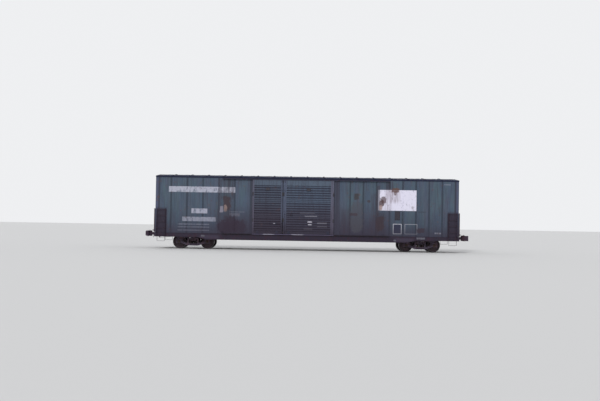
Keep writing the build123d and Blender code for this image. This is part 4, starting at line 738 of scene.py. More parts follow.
# %% Floor finish
plank = 0.14
floor_wood, floor_shader = new_finish("worn_hardwood_planks", 0.85)
point, (x, y, z) = place(floor_wood)
cell = add_node(floor_wood, "ShaderNodeMath", {0: x, 1: plank}, operation="DIVIDE").outputs[0]
number = add_node(floor_wood, "ShaderNodeMath", {0: cell}, operation="FLOOR").outputs[0]
tone = add_node(floor_wood, "ShaderNodeTexWhiteNoise", {"W": number}, noise_dimensions="1D").outputs["Value"]
gap = add_node(floor_wood, "ShaderNodeMath", {0: cell}, operation="FRACT").outputs[0]
edge = within(floor_wood, gap, 0.04, 0.96, 0.03)
joint = add_node(floor_wood, "ShaderNodeMath", {0: 1.0, 1: edge}, operation="SUBTRACT").outputs[0]
grain = spots(floor_wood, point, 7, 0.5, 0.25, (1, 26, 1), 1.0, 3.0)
dirt = spots(floor_wood, point, 500, 0.5, 0.2, (1, 1, 1), 6.6, 7.0)
wood = lay(floor_wood, "77604a", [
    ("8c755c", 0.8, tone), ("4e3d2f", 0.6, grain), ("3f342b", 0.6, dirt), ("1f1915", 0.9, joint),
])
connect(floor_wood, wood, floor_shader, "Base Color")
relief(floor_wood, floor_shader, [(edge, 3.0), (grain, 0.6)])
print("floor planks", plank, "m wide")

# %% [markdown]
# ## Giving the solids their finishes
# A CAD node keeps its mesh. Only the material in its slot changes.

# %% Finishes on the CAD nodes
finishes = {
    side_paint: ("side_walls",),
    header_paint: ("door_headers",),
    wide_door_paint: ("wide_door_right", "wide_door_left"),
    narrow_door_paint: ("narrow_door_right", "narrow_door_left"),
    end_paint: ("end_walls",),
    roof_finish: ("roof",),
    floor_wood: ("floor",),
    board_finish: ("placard_boards",),
    sill_paint: ("side_sills", "end_sills"),
    frame_paint: ("centre_sill", "floor_stringers", "crossbearers", "body_bolsters"),
    track_steel: ("upper_door_tracks",),
    lower_track_steel: ("lower_door_tracks",),
    ladder_paint: ("ladder_stiles", "ladder_rungs", "sill_steps", "crossover_platforms", "end_handrails",
                   "uncoupling_levers"),
    coupler_casting: ("strikers", "draft_gears", "coupler_a", "coupler_b", "knuckle_a", "knuckle_b"),
    brake_paint: ("brake_pipe", "air_reservoir", "control_valve", "brake_cylinder", "brake_rigging",
                  "hand_brake", "hand_brake_wheel"),
    bogie_casting: tuple(f"truck_{end}_{part}" for end in "ab"
                         for part in ("side_frames", "bolster", "bearings", "brake_beams")),
    spring_finish: ("truck_a_springs", "truck_b_springs"),
    axle_finish: tuple(f"wheelset_{number}_axle" for number in wheel_x),
}
finishes.update({wheel_finish[number]: (f"wheelset_{number}_wheels",) for number in wheel_x})
for finish, names in finishes.items():
    for name in names:
        for slot in nodes[name].material_slots:
            slot.material = finish
print("nodes with a finish:", sum(len(names) for names in finishes.values()), "of", len(nodes))

# %% [markdown]
# ## Tools for modelling
# Fittings are modelled as by hand: a primitive is added at its size, its faces are picked by place or
# direction, and edit-mode operators shape them. Everything is deselected first, because an operator acts on
# all that is selected. A finished mesh holds its own place, so its object stays at the origin, as a CAD
# node's does.

# %% Selecting and editing
def only(*pieces):
    """Selects these objects and nothing else; the last one is active."""
    bpy.ops.object.select_all(action="DESELECT")
    for piece in pieces:
        piece.select_set(True)
    bpy.context.view_layer.objects.active = pieces[-1]


def edit(piece, test=None):
    """Edit mode on one piece, with all its faces selected or those whose middle and normal pass the test."""
    only(piece)
    mesh = piece.data
    mesh.vertices.foreach_set("select", [False] * len(mesh.vertices))
    mesh.edges.foreach_set("select", [False] * len(mesh.edges))
    for face in mesh.polygons:
        face.select = test is None or test(face.center, face.normal)
    bpy.context.tool_settings.mesh_select_mode = (False, False, True)
    bpy.ops.object.mode_set(mode="EDIT")


def done(piece):
    """Back to object mode."""
    bpy.ops.object.mode_set(mode="OBJECT")
    return piece


def settle(piece):
    """Puts an object's place, turn and size into its mesh."""
    only(piece)
    bpy.ops.object.transform_apply(location=True, rotation=True, scale=True)
    return piece


def join(pieces):
    """Several objects made one."""
    if len(pieces) > 1:
        only(*pieces)
        bpy.ops.object.join()
    return pieces[-1]


print("selecting and editing ready")

# %% [markdown]
# ## Copies, and the last step of every fitting
# What repeats is copied with its own mesh. The last step names the piece, lays its finish on, smooths it up
# to an angle, and hangs it on its body, so that it moves with that body's joint. Copies could share one
# mesh to save memory, but then none could be moved within it.

# %% Copying and fitting
def copy_of(piece, matrix=None):
    """A copy with its own mesh, moved by a matrix."""
    twin = piece.copy()
    twin.data = piece.data.copy()
    bpy.context.scene.collection.objects.link(twin)
    if matrix is not None:
        twin.data.transform(matrix)
    return twin


def shifted(piece, offset):
    """A copy moved along."""
    return copy_of(piece, Matrix.Translation(offset))


HALF_TURN = Matrix.Rotation(math.pi, 4, "Z")


def both_ways_round(pieces):
    """The pieces and a copy of them turned half round about the car's middle, as one object."""
    near = join(pieces)
    return join([copy_of(near, HALF_TURN), near])


added_triangles = {}


def fit(piece, name, body, finish, smooth=35):
    """Names a finished piece, gives it its finish and hangs it on its body."""
    piece.name = name
    piece.data.name = name
    piece.data.materials.clear()
    piece.data.materials.append(finish)
    only(piece)
    bpy.ops.object.shade_smooth_by_angle(angle=math.radians(smooth))
    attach(piece, body)
    added_triangles[name] = sum(len(face.vertices) - 2 for face in piece.data.polygons)
    print(name, added_triangles[name], "triangles")
    return piece


print("modelling tools ready")

# %% [markdown]
# ## Stock: flat bar, round bar, pipe and rings
# Most fittings were cut from stock. Flat bar has its edges broken by a grinder, round bar has a small
# chamfer at its ends, and pipe runs straight between short bends. The pipe's path is a NURBS curve of order
# 3, with one point either side of each corner, so that only the corner bends. A ring is a torus. A Bevel
# modifier would also break the edges, but in edit mode the bevel keeps to the faces that are selected, such
# as the two ends of a round bar.

# %% Stock shapes
def bar(x, y, z, edge=2.0):
    """A bar between two limits on each axis, its edges broken by so many mm."""
    limits = [sorted(pair) for pair in (x, y, z)]
    bpy.ops.mesh.primitive_cube_add(size=1, location=[(a + b) / 2 for a, b in limits],
                                    scale=[b - a for a, b in limits])
    made = settle(bpy.context.object)
    edit(made)
    bpy.ops.mesh.bevel(offset=edge * mm, segments=1, affect="EDGES")
    return done(made)


def round_bar(start, end, radius, sides=12):
    """A round bar from point to point, chamfered at its ends."""
    axis = Vector(end) - Vector(start)
    bpy.ops.mesh.primitive_cylinder_add(vertices=sides, radius=radius, depth=axis.length,
                                        location=(Vector(start) + Vector(end)) / 2,
                                        rotation=axis.to_track_quat("Z", "Y").to_euler())
    made = settle(bpy.context.object)
    along = axis.normalized()
    edit(made, lambda centre, normal: abs(normal.dot(along)) > 0.9)
    bpy.ops.mesh.bevel(offset=min(radius * 0.22, axis.length * 0.3), segments=1, affect="EDGES")
    return done(made)


def pipe(points, radius, bend=0.05, smoothness=3):
    """A bent pipe through points, made a mesh with closed ends."""
    corners = [Vector(point) for point in points]
    path = [corners[0]]
    for before, corner, after in zip(corners, corners[1:], corners[2:]):
        path += [corner + (before - corner).normalized() * bend, corner,
                 corner + (after - corner).normalized() * bend]
    path.append(corners[-1])
    curve = bpy.data.curves.new("pipe", "CURVE")
    curve.dimensions = "3D"
    curve.bevel_depth, curve.bevel_resolution, curve.use_fill_caps = radius, 1, True
    curve.resolution_u = smoothness
    spline = curve.splines.new("NURBS")
    spline.points.add(len(path) - 1)
    for point, corner in zip(spline.points, path):
        point.co = (*corner, 1)
    spline.order_u, spline.use_endpoint_u = 3, True
    made = bpy.data.objects.new("pipe", curve)
    bpy.context.scene.collection.objects.link(made)
    only(made)
    bpy.ops.object.convert(target="MESH")
    return bpy.context.object


def ring(spot, radius, wire, turn=(0, 0, 0), around=16, section=6):
    """A closed ring of round wire."""
    bpy.ops.mesh.primitive_torus_add(location=spot, rotation=turn, major_radius=radius, minor_radius=wire,
                                     major_segments=around, minor_segments=section)
    return settle(bpy.context.object)


print("stock shapes ready")

# %% [markdown]
# ## Rivets and bolts
# A button-head rivet is half a sphere, flattened: a UV sphere cut at its middle by Bisect. A bolt is a
# six-sided head on a round washer. Each is modelled once with its foot on z = 0, and rows of them come from
# an Array modifier that is applied, so that the rows are real geometry with few faces.

# %% Rivet, bolt and rows
def rivet_pattern(radius):
    """One flattened button head."""
    bpy.ops.mesh.primitive_uv_sphere_add(segments=8, ring_count=4, radius=radius)
    made = bpy.context.object
    edit(made)
    bpy.ops.mesh.bisect(plane_co=(0, 0, 0), plane_no=(0, 0, 1), clear_inner=True, use_fill=True)
    bpy.ops.mesh.select_all(action="SELECT")
    bpy.ops.transform.resize(value=(1, 1, 0.62))
    return done(made)


def bolt_pattern(across, height):
    """A hexagon head on its washer."""
    washer = round_bar((0, 0, 0), (0, 0, height * 0.25), across * 0.72)
    bpy.ops.mesh.primitive_cylinder_add(vertices=6, radius=across * 0.577, depth=height,
                                        location=(0, 0, height * 0.6))
    head = settle(bpy.context.object)
    edit(head, lambda centre, normal: normal.z > 0.9)
    bpy.ops.mesh.inset(thickness=across * 0.06, depth=across * 0.05)
    done(head)
    return join([washer, head])


def facing(direction):
    """The turn that brings a pattern's +Z to a direction."""
    return Vector(direction).to_track_quat("Z", "Y").to_matrix().to_4x4()


def set_at(pattern, spot, direction):
    """One copy of a pattern, its foot at a spot."""
    return copy_of(pattern, Matrix.Translation(spot) @ facing(direction))


def row(pattern, first, direction, count, step):
    """A row of copies from the first spot, by an applied Array."""
    made = set_at(pattern, first, direction)
    array = made.modifiers.new("row", "ARRAY")
    array.use_relative_offset = False
    array.use_constant_offset = True
    array.constant_offset_displace = step
    array.count = count
    only(made)
    bpy.ops.object.modifier_apply(modifier=array.name)
    return made


def line(pattern, first, last, direction, pitch):
    """A row of copies between two spots, at about the pitch."""
    run = Vector(last) - Vector(first)
    gaps = max(1, round(run.length / pitch))
    return row(pattern, first, direction, gaps + 1, run / gaps)


OUT, TO_END, UP, DOWN = (0, -1, 0), (1, 0, 0), (0, 0, 1), (0, 0, -1)
rivet = rivet_pattern(9 * mm)
big_rivet = rivet_pattern(13 * mm)
bolt = bolt_pattern(26 * mm, 14 * mm)
small_bolt = bolt_pattern(18 * mm, 10 * mm)
patterns = [rivet, big_rivet, bolt, small_bolt]
print("patterns:", [len(pattern.data.polygons) for pattern in patterns], "faces each")

# %% [markdown]
# ## Riveted sides
# The side sheets lap under a batten at each post, and two columns of rivets hold each lap. More rivets
# follow the sill, the eave and the corner. The near side is made, and the far side is a copy turned half
# round. Bump in the paint could hint at rivets, but real heads catch the light one by one and still stand
# out when the side is seen along its length.

# %% Rivets on the sides
rivet_pitch = 0.085
batten_face = wall_face + 8 * mm
column_foot, column_head = 1.035, 4.30
row_end, eave_row, sill_row = 9.05, 4.385, 1.008
side_rows = []


def column(x, face, head=column_head):
    """One upright column of rivets on the near side."""
    return line(rivet, (x, -face, column_foot), (x, -face, head), OUT, rivet_pitch)


for x in batten_x:
    for shift in (-15 * mm, 15 * mm):
        side_rows.append(column(x + shift, batten_face))
for start, end in post_strips_and_painted_shadow:
    for x in (start + 28 * mm, end - 28 * mm):
        side_rows.append(column(x, batten_face))
for x in (-9.165, -9.115, 9.115, 9.165):
    side_rows.append(column(x, wall_face, 4.37))
for start, end, z in ((-row_end, track_left - 0.05, eave_row), (track_right + 0.05, row_end, eave_row),
                      (-row_end, opening_left - 0.1, sill_row), (opening_right + 0.1, row_end, sill_row)):
    side_rows.append(line(rivet, (start, -wall_face, z), (end, -wall_face, z), OUT, rivet_pitch))
fit(both_ways_round(side_rows), "side_rivets", "car_body", side_paint)

# %% [markdown]
# ## Sill rivets and track bolts
# The side sill is a pressed channel riveted to the floor's cross members. The door track is bolted to it.
# The bigger rivet follows the sill: rows along its edges, and upright pairs at each cross member. Four
# short plates lie over the upper track's face. All the heads are copies of the same few patterns, so they
# stay alike, and one change reaches them all.

# %% Rivets on the sills, bolts on the tracks
sill_end = 9.34
top_row, shallow_row, deep_row = 0.952, 0.768, 0.627
crossbearer_x = (-4.95, -3.30, -1.65, 0, 1.65, 3.30, 4.95)
sill_rows = []
for start, end, z in ((-sill_end, track_left - 0.03, top_row), (track_right + 0.03, sill_end, top_row),
                      (-sill_end, -6.74, shallow_row), (-6.05, 6.05, deep_row),
                      (6.74, sill_end, shallow_row)):
    sill_rows.append(line(big_rivet, (start, -sill_face, z), (end, -sill_face, z), OUT, 0.12))
columns = [(x + shift, 0.67, 0.85, 0.06) for x in crossbearer_x for shift in (-30 * mm, 30 * mm)]
columns += [(x + shift, 0.80, 0.93, 0.065) for x in truck_x.values() for shift in (-0.13, -0.07, 0.07, 0.13)]
for x, foot, head, pitch in columns:
    sill_rows.append(line(big_rivet, (x, -sill_face, foot), (x, -sill_face, head), OUT, pitch))
fit(both_ways_round(sill_rows), "sill_rivets", "car_body", sill_paint)

angle_face = sill_face + 10 * mm
track_face = 1.604
track_rows = []
for face, z, pitch in ((angle_face, 0.925, 0.305), (track_face, 4.365, 0.61)):
    start, end = (track_left + 0.1, -face, z), (track_right - 0.1, -face, z)
    track_rows.append(line(small_bolt, start, end, OUT, pitch))
for x in (track_left + 0.004, -1.49, 0.9, track_right - 0.044):
    track_rows.append(bar((x, x + 40 * mm), (-track_face - 8 * mm, -track_face + 4 * mm), (4.322, 4.400)))
fit(both_ways_round(track_rows), "track_bolts", "car_body", track_steel)

# %% [markdown]
# ## Roof fastenings
# Each seam cap is held by two rows of rivets from eave to ridge, on both slopes. They face along the
# slope's own normal, which is worked out from the rise of the cap between eave and ridge. Each row could be
# laid flat and then tilted, but a pattern set along the normal needs no second step.

# %% Rivets on the roof
cap_eave, cap_ridge = Vector((0, -1.48, 4.5212)), Vector((0, -0.06, 4.6668))
slope = cap_ridge - cap_eave
slope_out = (0, -slope.z, slope.y)
roof_rows = []
for i in range(1, roof_bays):
    for shift in (-24 * mm, 24 * mm):
        along = Vector((-body_end + bay * i + shift, 0, 0))
        roof_rows.append(line(rivet, along + cap_eave, along + cap_ridge, slope_out, 0.11))
for x in (-body_end + 0.03, body_end - 0.03):
    edge = Vector((x, 0, -28 * mm))
    roof_rows.append(line(rivet, edge + cap_eave, edge + cap_ridge, slope_out, 0.11))
fit(both_ways_round(roof_rows), "roof_rivets", "car_body", roof_finish)

# %% [markdown]
# ## End fastenings
# The pressed end is riveted to the floor and roof plates, and a cast corner gusset ties it to each sill.
# The low rows leave room for the coupler. One end is made, and the other is the same end turned half round,
# which a mirror would not give: on the real car, too, both ends read alike from in front.

# %% Rivets and gussets on the ends
whole_width = ((-1.40, 1.40),)
beside_coupler = ((-1.40, -0.80), (0.80, 1.40))
end_rows = []
for z in (1.020, 1.060, 4.250, 4.330):
    for start, end in beside_coupler if z < 2 else whole_width:
        end_rows.append(line(rivet, (body_end, start, z), (body_end, end, z), TO_END, rivet_pitch))
for y in (-1.425, 1.425):
    end_rows.append(line(rivet, (body_end, y, 2.55), (body_end, y, 4.36), TO_END, rivet_pitch))
fit(both_ways_round(end_rows), "end_rivets", "car_body", end_paint)

gusset_face = end_sill_face + 9 * mm
corner_parts = []
for side in (-1, 1):
    corner_parts.append(bar((end_sill_face - 1 * mm, gusset_face), (side * 1.20, side * 1.47),
                            (0.75, 0.97), 3))
    for y in (1.24, 1.43):
        for z in (0.79, 0.86, 0.93):
            corner_parts.append(set_at(big_rivet, (gusset_face, side * y, z), TO_END))
    for y in (0.60, 0.75, 0.90, 1.05):
        corner_parts.append(set_at(big_rivet, (end_sill_face, side * y, 0.78), TO_END))
fit(both_ways_round(corner_parts), "end_sill_gussets", "car_body", sill_paint)

# %% [markdown]
# ## Ladder feet
# A ladder stile is flat bar set on edge. At three heights it is held by a short angle bolted to the wall,
# and each rung's end is a nut outside the stile. The two sides of an end could be mirrored, but a mirror
# turns faces inside out. A sign of 1 or -1 in the loop places the same parts without that.

# %% Brackets and nuts on the ladders
stile_half = 5 * mm
foot_half = 25 * mm
foot_thickness = 6 * mm
rung_u = 1.554
foot_heights = (1.06, 1.72, 2.38)
side_rungs = [0.885 + 0.38 * i for i in range(5)]
ladder_parts = []
for end in (-1, 1):
    for x, inward in ((8.720, 1), (9.260, -1)):
        for z in foot_heights:
            base = end * (x + inward * stile_half)
            tip = end * (x + inward * 52 * mm)
            heights = (z - foot_half, z + foot_half)
            ladder_parts.append(bar((base, tip), (-wall_face - foot_thickness, -wall_face), heights))
            ladder_parts.append(bar((base, base + end * inward * foot_thickness),
                                    (-wall_face - 46 * mm, -wall_face),
                                    heights))
            bolt_x = end * (x + inward * 32 * mm)
            ladder_parts.append(set_at(small_bolt, (bolt_x, -wall_face - foot_thickness, z), OUT))
        for z in side_rungs:
            nut = (end * (x - inward * stile_half), -rung_u, z)
            ladder_parts.append(set_at(small_bolt, nut, (-end * inward, 0, 0)))
for side in (-1, 1):
    for y, inward in ((1.040, 1), (1.450, -1)):
        for z in foot_heights:
            base = side * (y + inward * stile_half)
            tip = side * (y + inward * 52 * mm)
            heights = (z - foot_half, z + foot_half)
            ladder_parts.append(bar((body_end, body_end + foot_thickness), (base, tip), heights))
            bolt_y = side * (y + inward * 32 * mm)
            ladder_parts.append(set_at(small_bolt, (body_end + foot_thickness, bolt_y, z), TO_END))
        for z in side_rungs[1:]:
            nut = (body_end + 54 * mm, side * (y - inward * stile_half), z)
            ladder_parts.append(set_at(small_bolt, nut, (0, -side * inward, 0)))
fit(both_ways_round(ladder_parts), "ladder_brackets", "car_body", ladder_paint)

# %% [markdown]
# ## Sill steps
# A stirrup's legs are bolted through the sill, and its tread carries a row of raised nubs for a wet boot.
# The nubs could be drawn as bump, but the tread is seen edge-on, so they are rivet heads that face up.

# %% Step bolts and treads
step_parts = []
tread_top = rail_top + 0.450
step_leg_face = 1.538
for end in (-1, 1):
    for x in (8.746, 9.214):
        for z in (0.80, 0.87):
            step_parts.append(set_at(small_bolt, (end * x, -step_leg_face, z), OUT))
    for u in (1.500, 1.513, 1.526):
        step_parts.append(line(rivet, (end * 8.79, -u, tread_top), (end * 9.17, -u, tread_top), UP, 0.038))
fit(both_ways_round(step_parts), "step_bolts", "car_body", ladder_paint)

# %% [markdown]
# ## Rivets on the doors
# A door is three ribbed sheets in a riveted frame: two columns hold each stile, a row holds each joint
# between sheets, and two rows hold the deep top rail. The near doors are made, and turned copies ride the
# far doors.

# %% Door sizes and rivets
door_bottom, door_top = 1.020, 4.375
sheet_height = 0.9683
seam_face, rail_face, stile_face = 1.562, 1.570, 1.578
doors = {
    "wide": {"limits": (-1.480, 1.640), "stile": 0.200, "lock": -1.380, "reach": 0.460, "handle": 2.225,
             "pulls": (0.040, 0.290), "paint": wide_door_paint},
    "narrow": {"limits": (-3.377, -1.510), "stile": 0.110, "lock": -1.565, "reach": -0.460, "handle": 1.665,
               "pulls": (-2.2635,), "paint": narrow_door_paint},
}


def fit_to_doors(pieces, name, door, finish):
    """Fits a near-side piece to a door, and a turned copy to the door across the car."""
    near = join(pieces)
    far = copy_of(near, HALF_TURN)
    fit(near, f"{name}_right", f"{door}_door_right", finish)
    fit(far, f"{name}_left", f"{door}_door_left", finish)


for door, size in doors.items():
    left, right = size["limits"]
    stile = size["stile"]
    rows = []
    for x in (left + 18 * mm, left + stile - 18 * mm, right - stile + 18 * mm, right - 18 * mm):
        foot, head = (x, -stile_face, door_bottom + 0.05), (x, -stile_face, door_top - 0.05)
        rows.append(line(rivet, foot, head, OUT, rivet_pitch))
    across = (left + stile + 0.04, right - stile - 0.04)
    seams = [(seam_face, door_bottom + 0.099 + sheet_height * i) for i in (1, 2)]
    for u, z in seams + [(rail_face, z) for z in (1.052, 4.02, 4.345)]:
        rows.append(line(rivet, (across[0], -u, z), (across[1], -u, z), OUT, rivet_pitch))
    fit_to_doors(rows, f"{door}_door_rivets", door, size["paint"])

# %% [markdown]
# ## Door fastening
# A lock rod runs the height of each door. It turns in bolted guides, its cams catch the tracks above and
# below, and a flat handle swings it and drops behind a keeper with a hinged hasp. The handle is a bent
# pipe, and the rest is short lengths of bar set on the rod's line. Both doors run through the same lines of
# code, because only their sizes differ, and a table holds those.

# %% Lock fittings
lock_u = 1.592
guide_face = 1.606
keeper_face = 1.602
hinge_u = 1.600
pivot_face = 1.614
for door, size in doors.items():
    x, z, toward = size["lock"], size["handle"], math.copysign(1, size["reach"])
    lock = []
    for guide_z in (door_bottom + 0.160, z - 0.160, z + 0.160, door_top - 0.700, door_top - 0.160):
        for side in (-1, 1):
            lock.append(set_at(small_bolt, (x + side * 28 * mm, -guide_face, guide_z), OUT))
        lock.append(round_bar((x, -lock_u, guide_z + 24 * mm), (x, -lock_u, guide_z + 38 * mm), 19 * mm))
    for cam_z, hook in ((door_bottom + 0.060, -1), (door_top - 0.090, 1)):
        lock.append(round_bar((x, -lock_u, cam_z - 16 * mm), (x, -lock_u, cam_z + 16 * mm), 22 * mm))
        lock.append(bar((x - 12 * mm, x + 12 * mm), (-lock_u - 12 * mm, -1.552),
                        (cam_z + hook * 16 * mm, cam_z + hook * 30 * mm), 3))
    lock.append(round_bar((x, -stile_face, z), (x, -pivot_face, z), 30 * mm, 16))
    lock.append(set_at(bolt, (x, -pivot_face, z), OUT))
    grip_x = x + size["reach"]
    drop_x = grip_x + toward * 0.03
    lock.append(pipe([(grip_x - toward * 0.09, -lock_u, z), (grip_x, -lock_u, z),
                      (drop_x, -keeper_face, z - 0.05),
                      (drop_x, -keeper_face, z - 0.12)], 9 * mm, 0.03))
    keeper = x + size["reach"] * 0.8
    hinge = (keeper - 40 * mm, keeper + 40 * mm)
    hinge_z = z + 66 * mm
    lock.append(bar((keeper - 34 * mm, keeper + 34 * mm), (-keeper_face - 6 * mm, -keeper_face),
                    (z - 78 * mm, z + 62 * mm), 2))
    lock.append(round_bar((hinge[0], -hinge_u, hinge_z), (hinge[1], -hinge_u, hinge_z), 8 * mm))
    lock.append(bar(hinge, (-hinge_u, -crest_face), (hinge_z - 8 * mm, hinge_z + 8 * mm), 2))
    lock.append(ring((keeper, -1.612, z - 60 * mm), 16 * mm, 3.5 * mm, (0, math.pi / 2, 0), 14))
    fit_to_doors(lock, f"{door}_door_lock", door, track_steel)

# %% [markdown]
# ## Door hardware
# The door's weight hangs on two rollers, each behind a bolted cover. Oak bumpers take the knocks at the
# edges, the pull handles end in washers, and the card board is a plank in a steel frame. A cover is a bar
# whose front is inset twice, the second time inwards, for a rim round a shallow pan. A Boolean modifier
# could cut the pan too, but it leaves long thin faces that shade badly.

# %% Roller covers, bumpers and card boards
card_z = (3.685, 3.855)
cover_face, board_rim_face, bumper_face = 1.588, 1.590, 1.604
oak = {}
for door, size in doors.items():
    left, right = size["limits"]
    steel = []
    for x in (left + 0.350, right - 0.350):
        cover = bar((x - 80 * mm, x + 80 * mm), (-cover_face, -crest_face), (1.030, 1.195), 3)
        edit(cover, lambda centre, normal: normal.y < -0.9)
        bpy.ops.mesh.inset(thickness=14 * mm)
        bpy.ops.mesh.inset(thickness=5 * mm, depth=-4 * mm)
        steel.append(done(cover))
        for dx in (-66 * mm, 66 * mm):
            for z in (1.045, 1.180):
                steel.append(set_at(small_bolt, (x + dx, -cover_face, z), OUT))
        steel.append(set_at(bolt, (x, -cover_face + 4 * mm, 1.100), OUT))
    for x in size["pulls"]:
        for z in (1.615, 1.815):
            steel.append(round_bar((x, -crest_face + 2 * mm, z), (x, -crest_face - 4 * mm, z), 22 * mm, 16))
    middle = (left + right) / 2
    for z in card_z:
        steel.append(bar((middle - 0.125, middle + 0.125), (-board_rim_face, -crest_face),
                         (z - 9 * mm, z + 9 * mm)))
    for x in (middle - 0.121, middle + 0.121):
        steel.append(bar((x - 8 * mm, x + 8 * mm), (-board_rim_face, -crest_face), card_z))
        for z in card_z:
            steel.append(set_at(small_bolt, (x, -board_rim_face, z), OUT))
    fit_to_doors(steel, f"{door}_door_hardware", door, track_steel)
    board = bar((middle - 0.108, middle + 0.108), (-cover_face, -cover_face + 6 * mm),
                (card_z[0] + 8 * mm, card_z[1] - 8 * mm), 1)
    oak[door] = [board]
    for x, side in ((left, 1), (right, -1)):
        for z in (1.75, 3.35):
            oak[door].append(bar((x + side * 2 * mm, x + side * 62 * mm), (-bumper_face, -stile_face),
                                 (z, z + 0.22), 6))
print("doors with oak fittings:", list(oak))

# %% [markdown]
# ## Oak
# The card boards and bumpers are oak: grey where the rain gets at it, brown in the grain, dark round the
# bolts. The grain runs along the plank, so the noise is stretched along X.

# %% Oak finish
oak_finish, oak_shader = new_finish("weathered_oak", 0.85)
point, (x, y, z) = place(oak_finish)
oak_grain = spots(oak_finish, point, 6, 0.5, 0.25, (14, 1, 1), 2.0, 4.0)
oak_dirt = spots(oak_finish, point, 90, 0.52, 0.18, (1, 1, 1), 6.6, 6.0)
oak_colour = lay(oak_finish, "45434a", [("302a2c", 0.7, oak_grain), ("2e2d38", 0.6, oak_dirt)])
connect(oak_finish, oak_colour, oak_shader, "Base Color")
relief(oak_finish, oak_shader, [(oak_grain, 0.8)])
for door, pieces in oak.items():
    fit_to_doors(pieces, f"{door}_door_oak", door, oak_finish)

# %% [markdown]
# ## Inner coils
# The truck's castings are solids, and so are its outer springs. A second, thinner coil stands inside each
# load spring, wound from a circle of wire by the Screw modifier. One truck's coils are made about its own
# centre, and copies ride the two truck bodies.

# %% Inner coils
def coil(centre, bottom, top, radius, wire, turns):
    """A helical spring: a circle of wire that an applied Screw modifier winds up its axis."""
    bpy.ops.mesh.primitive_circle_add(vertices=6, radius=wire, location=(radius, 0, 0),
                                      rotation=(math.pi / 2, 0, 0))
    made = settle(bpy.context.object)
    screw = made.modifiers.new("turns", "SCREW")
    screw.angle, screw.iterations, screw.steps = 2 * math.pi, turns, 14
    screw.render_steps = screw.steps
    screw.screw_offset = (top - bottom - 2 * wire) / turns
    only(made)
    bpy.ops.object.modifier_apply(modifier=screw.name)
    edit(made)
    bpy.ops.mesh.normals_make_consistent(inside=False)
    done(made)
    made.data.transform(Matrix.Translation((*centre, bottom + wire)))
    return made


def fit_along(piece, places, name, body, finish):
    """Fits a copy of one pattern at each place along the car, each to its own body."""
    for key, x in places.items():
        fit(shifted(piece, (x, 0, 0)), name.format(key), body.format(key), finish)
    patterns.append(piece)


frame_line = 1.003
frame_face = 1.032
wheelbase_half = 0.8635
coil_places = [(x, y) for x in (-0.155, 0.155) for y in (-0.076, 0.076)] + [(0, 0)]
inner_coils = [coil((x, side * frame_line + y), 0.300, 0.510, 34 * mm, 8 * mm, 9)
               for side in (-1, 1) for x, y in coil_places]
inner_coils = join(inner_coils)
fit_along(inner_coils, truck_x, "truck_{}_inner_coils", "truck_{}", spring_finish)

# %% [markdown]
# ## Brake heads, adapters and pins
# A brake head is a casting on the end of the beam, hollow-backed, with a key driven down between its lugs
# to hold the shoe. The adapter's crown is a raised pad over the bearing. Both start as a bar whose face is
# inset. Pins join the levers to the beam, and big rivets show on the side frames' faces.

# %% Truck fittings
truck_fittings = []
for end in (-1, 1):
    for side in (-1, 1):
        head = bar((end * 0.322, end * 0.398), (side * 0.716, side * 0.802), (0.300, 0.462), 8)
        edit(head, lambda centre, normal: abs(normal.x) > 0.9 and abs(centre.x) < 0.34)
        bpy.ops.mesh.inset(thickness=10 * mm, depth=-14 * mm)
        truck_fittings.append(done(head))
        key_y = side * 0.759
        truck_fittings.append(pipe([(end * 0.392, key_y, 0.285), (end * 0.400, key_y, 0.380),
                                    (end * 0.388, key_y, 0.490),
                                    (end * 0.372, key_y, 0.505)], 8 * mm, 0.03, 2))
        crown = bar((end * wheelbase_half - 0.082, end * wheelbase_half + 0.082),
                    (side * (frame_line + 0.062), side * (frame_line + 0.074)), (0.512, 0.582), 4)
        edit(crown, lambda centre, normal: abs(normal.y) > 0.9)
        bpy.ops.mesh.inset(thickness=14 * mm, depth=-3 * mm)
        truck_fittings.append(done(crown))
        for y in (0.600, 0.670):
            truck_fittings.append(set_at(bolt, (end * 0.135, side * y, 0.690), UP))
    for x, z in ((end * 0.2545, 0.320), (end * 0.2640, 0.380), (end * 0.2985, 0.655)):
        truck_fittings.append(round_bar((x, -0.034, z), (x, 0.034, z), 13 * mm))
for side in (-1, 1):
    for x in (-0.10, 0, 0.10):
        truck_fittings.append(set_at(big_rivet, (x, side * frame_face, 0.7475), (0, side, 0)))
    for x in (-0.90, -0.66, 0.66, 0.90):
        truck_fittings.append(set_at(big_rivet, (x, side * frame_face, 0.640), (0, side, 0)))
truck_fittings = join(truck_fittings)
fit_along(truck_fittings, truck_x, "truck_{}_fittings", "truck_{}", bogie_casting)

# %% [markdown]
# ## Axle ends
# Three cap screws hold the bearing on its journal, and a thin locking plate under their heads has its tabs
# bent up so that they can't turn. A grease plug closes the middle. These pieces roll with their wheelset.
# The tabs are too small to show, so the plate is left flat: a cylinder with three sides, whose corners are
# rounded by a bevel.

# %% Locking plates on the axle ends
cap_face = 1.125
screw_circle = 52 * mm
cap_parts = []
for side in (-1, 1):
    bpy.ops.mesh.primitive_cylinder_add(vertices=3, radius=0.098, depth=5 * mm, rotation=(math.pi / 2, 0, 0),
                                        location=(0, side * (cap_face + 1 * mm), axle_z))
    plate = settle(bpy.context.object)
    edit(plate, lambda centre, normal: abs(normal.y) < 0.1)
    bpy.ops.mesh.bevel(offset=26 * mm, segments=2, affect="EDGES", clamp_overlap=True)
    cap_parts.append(done(plate))
    cap_parts.append(set_at(small_bolt, (0, side * (cap_face + 3 * mm), axle_z), (0, side, 0)))
    for i in range(3):
        angle = math.tau * i / 3 + math.pi / 2
        across, up = screw_circle * math.cos(angle), screw_circle * math.sin(angle)
        spot = (across, side * (cap_face + 8 * mm), axle_z + up)
        cap_parts.append(set_at(bolt, spot, (0, side, 0)))
cap_parts = join(cap_parts)
fit_along(cap_parts, wheel_x, "wheelset_{}_end_caps", "wheelset_{}", axle_finish)

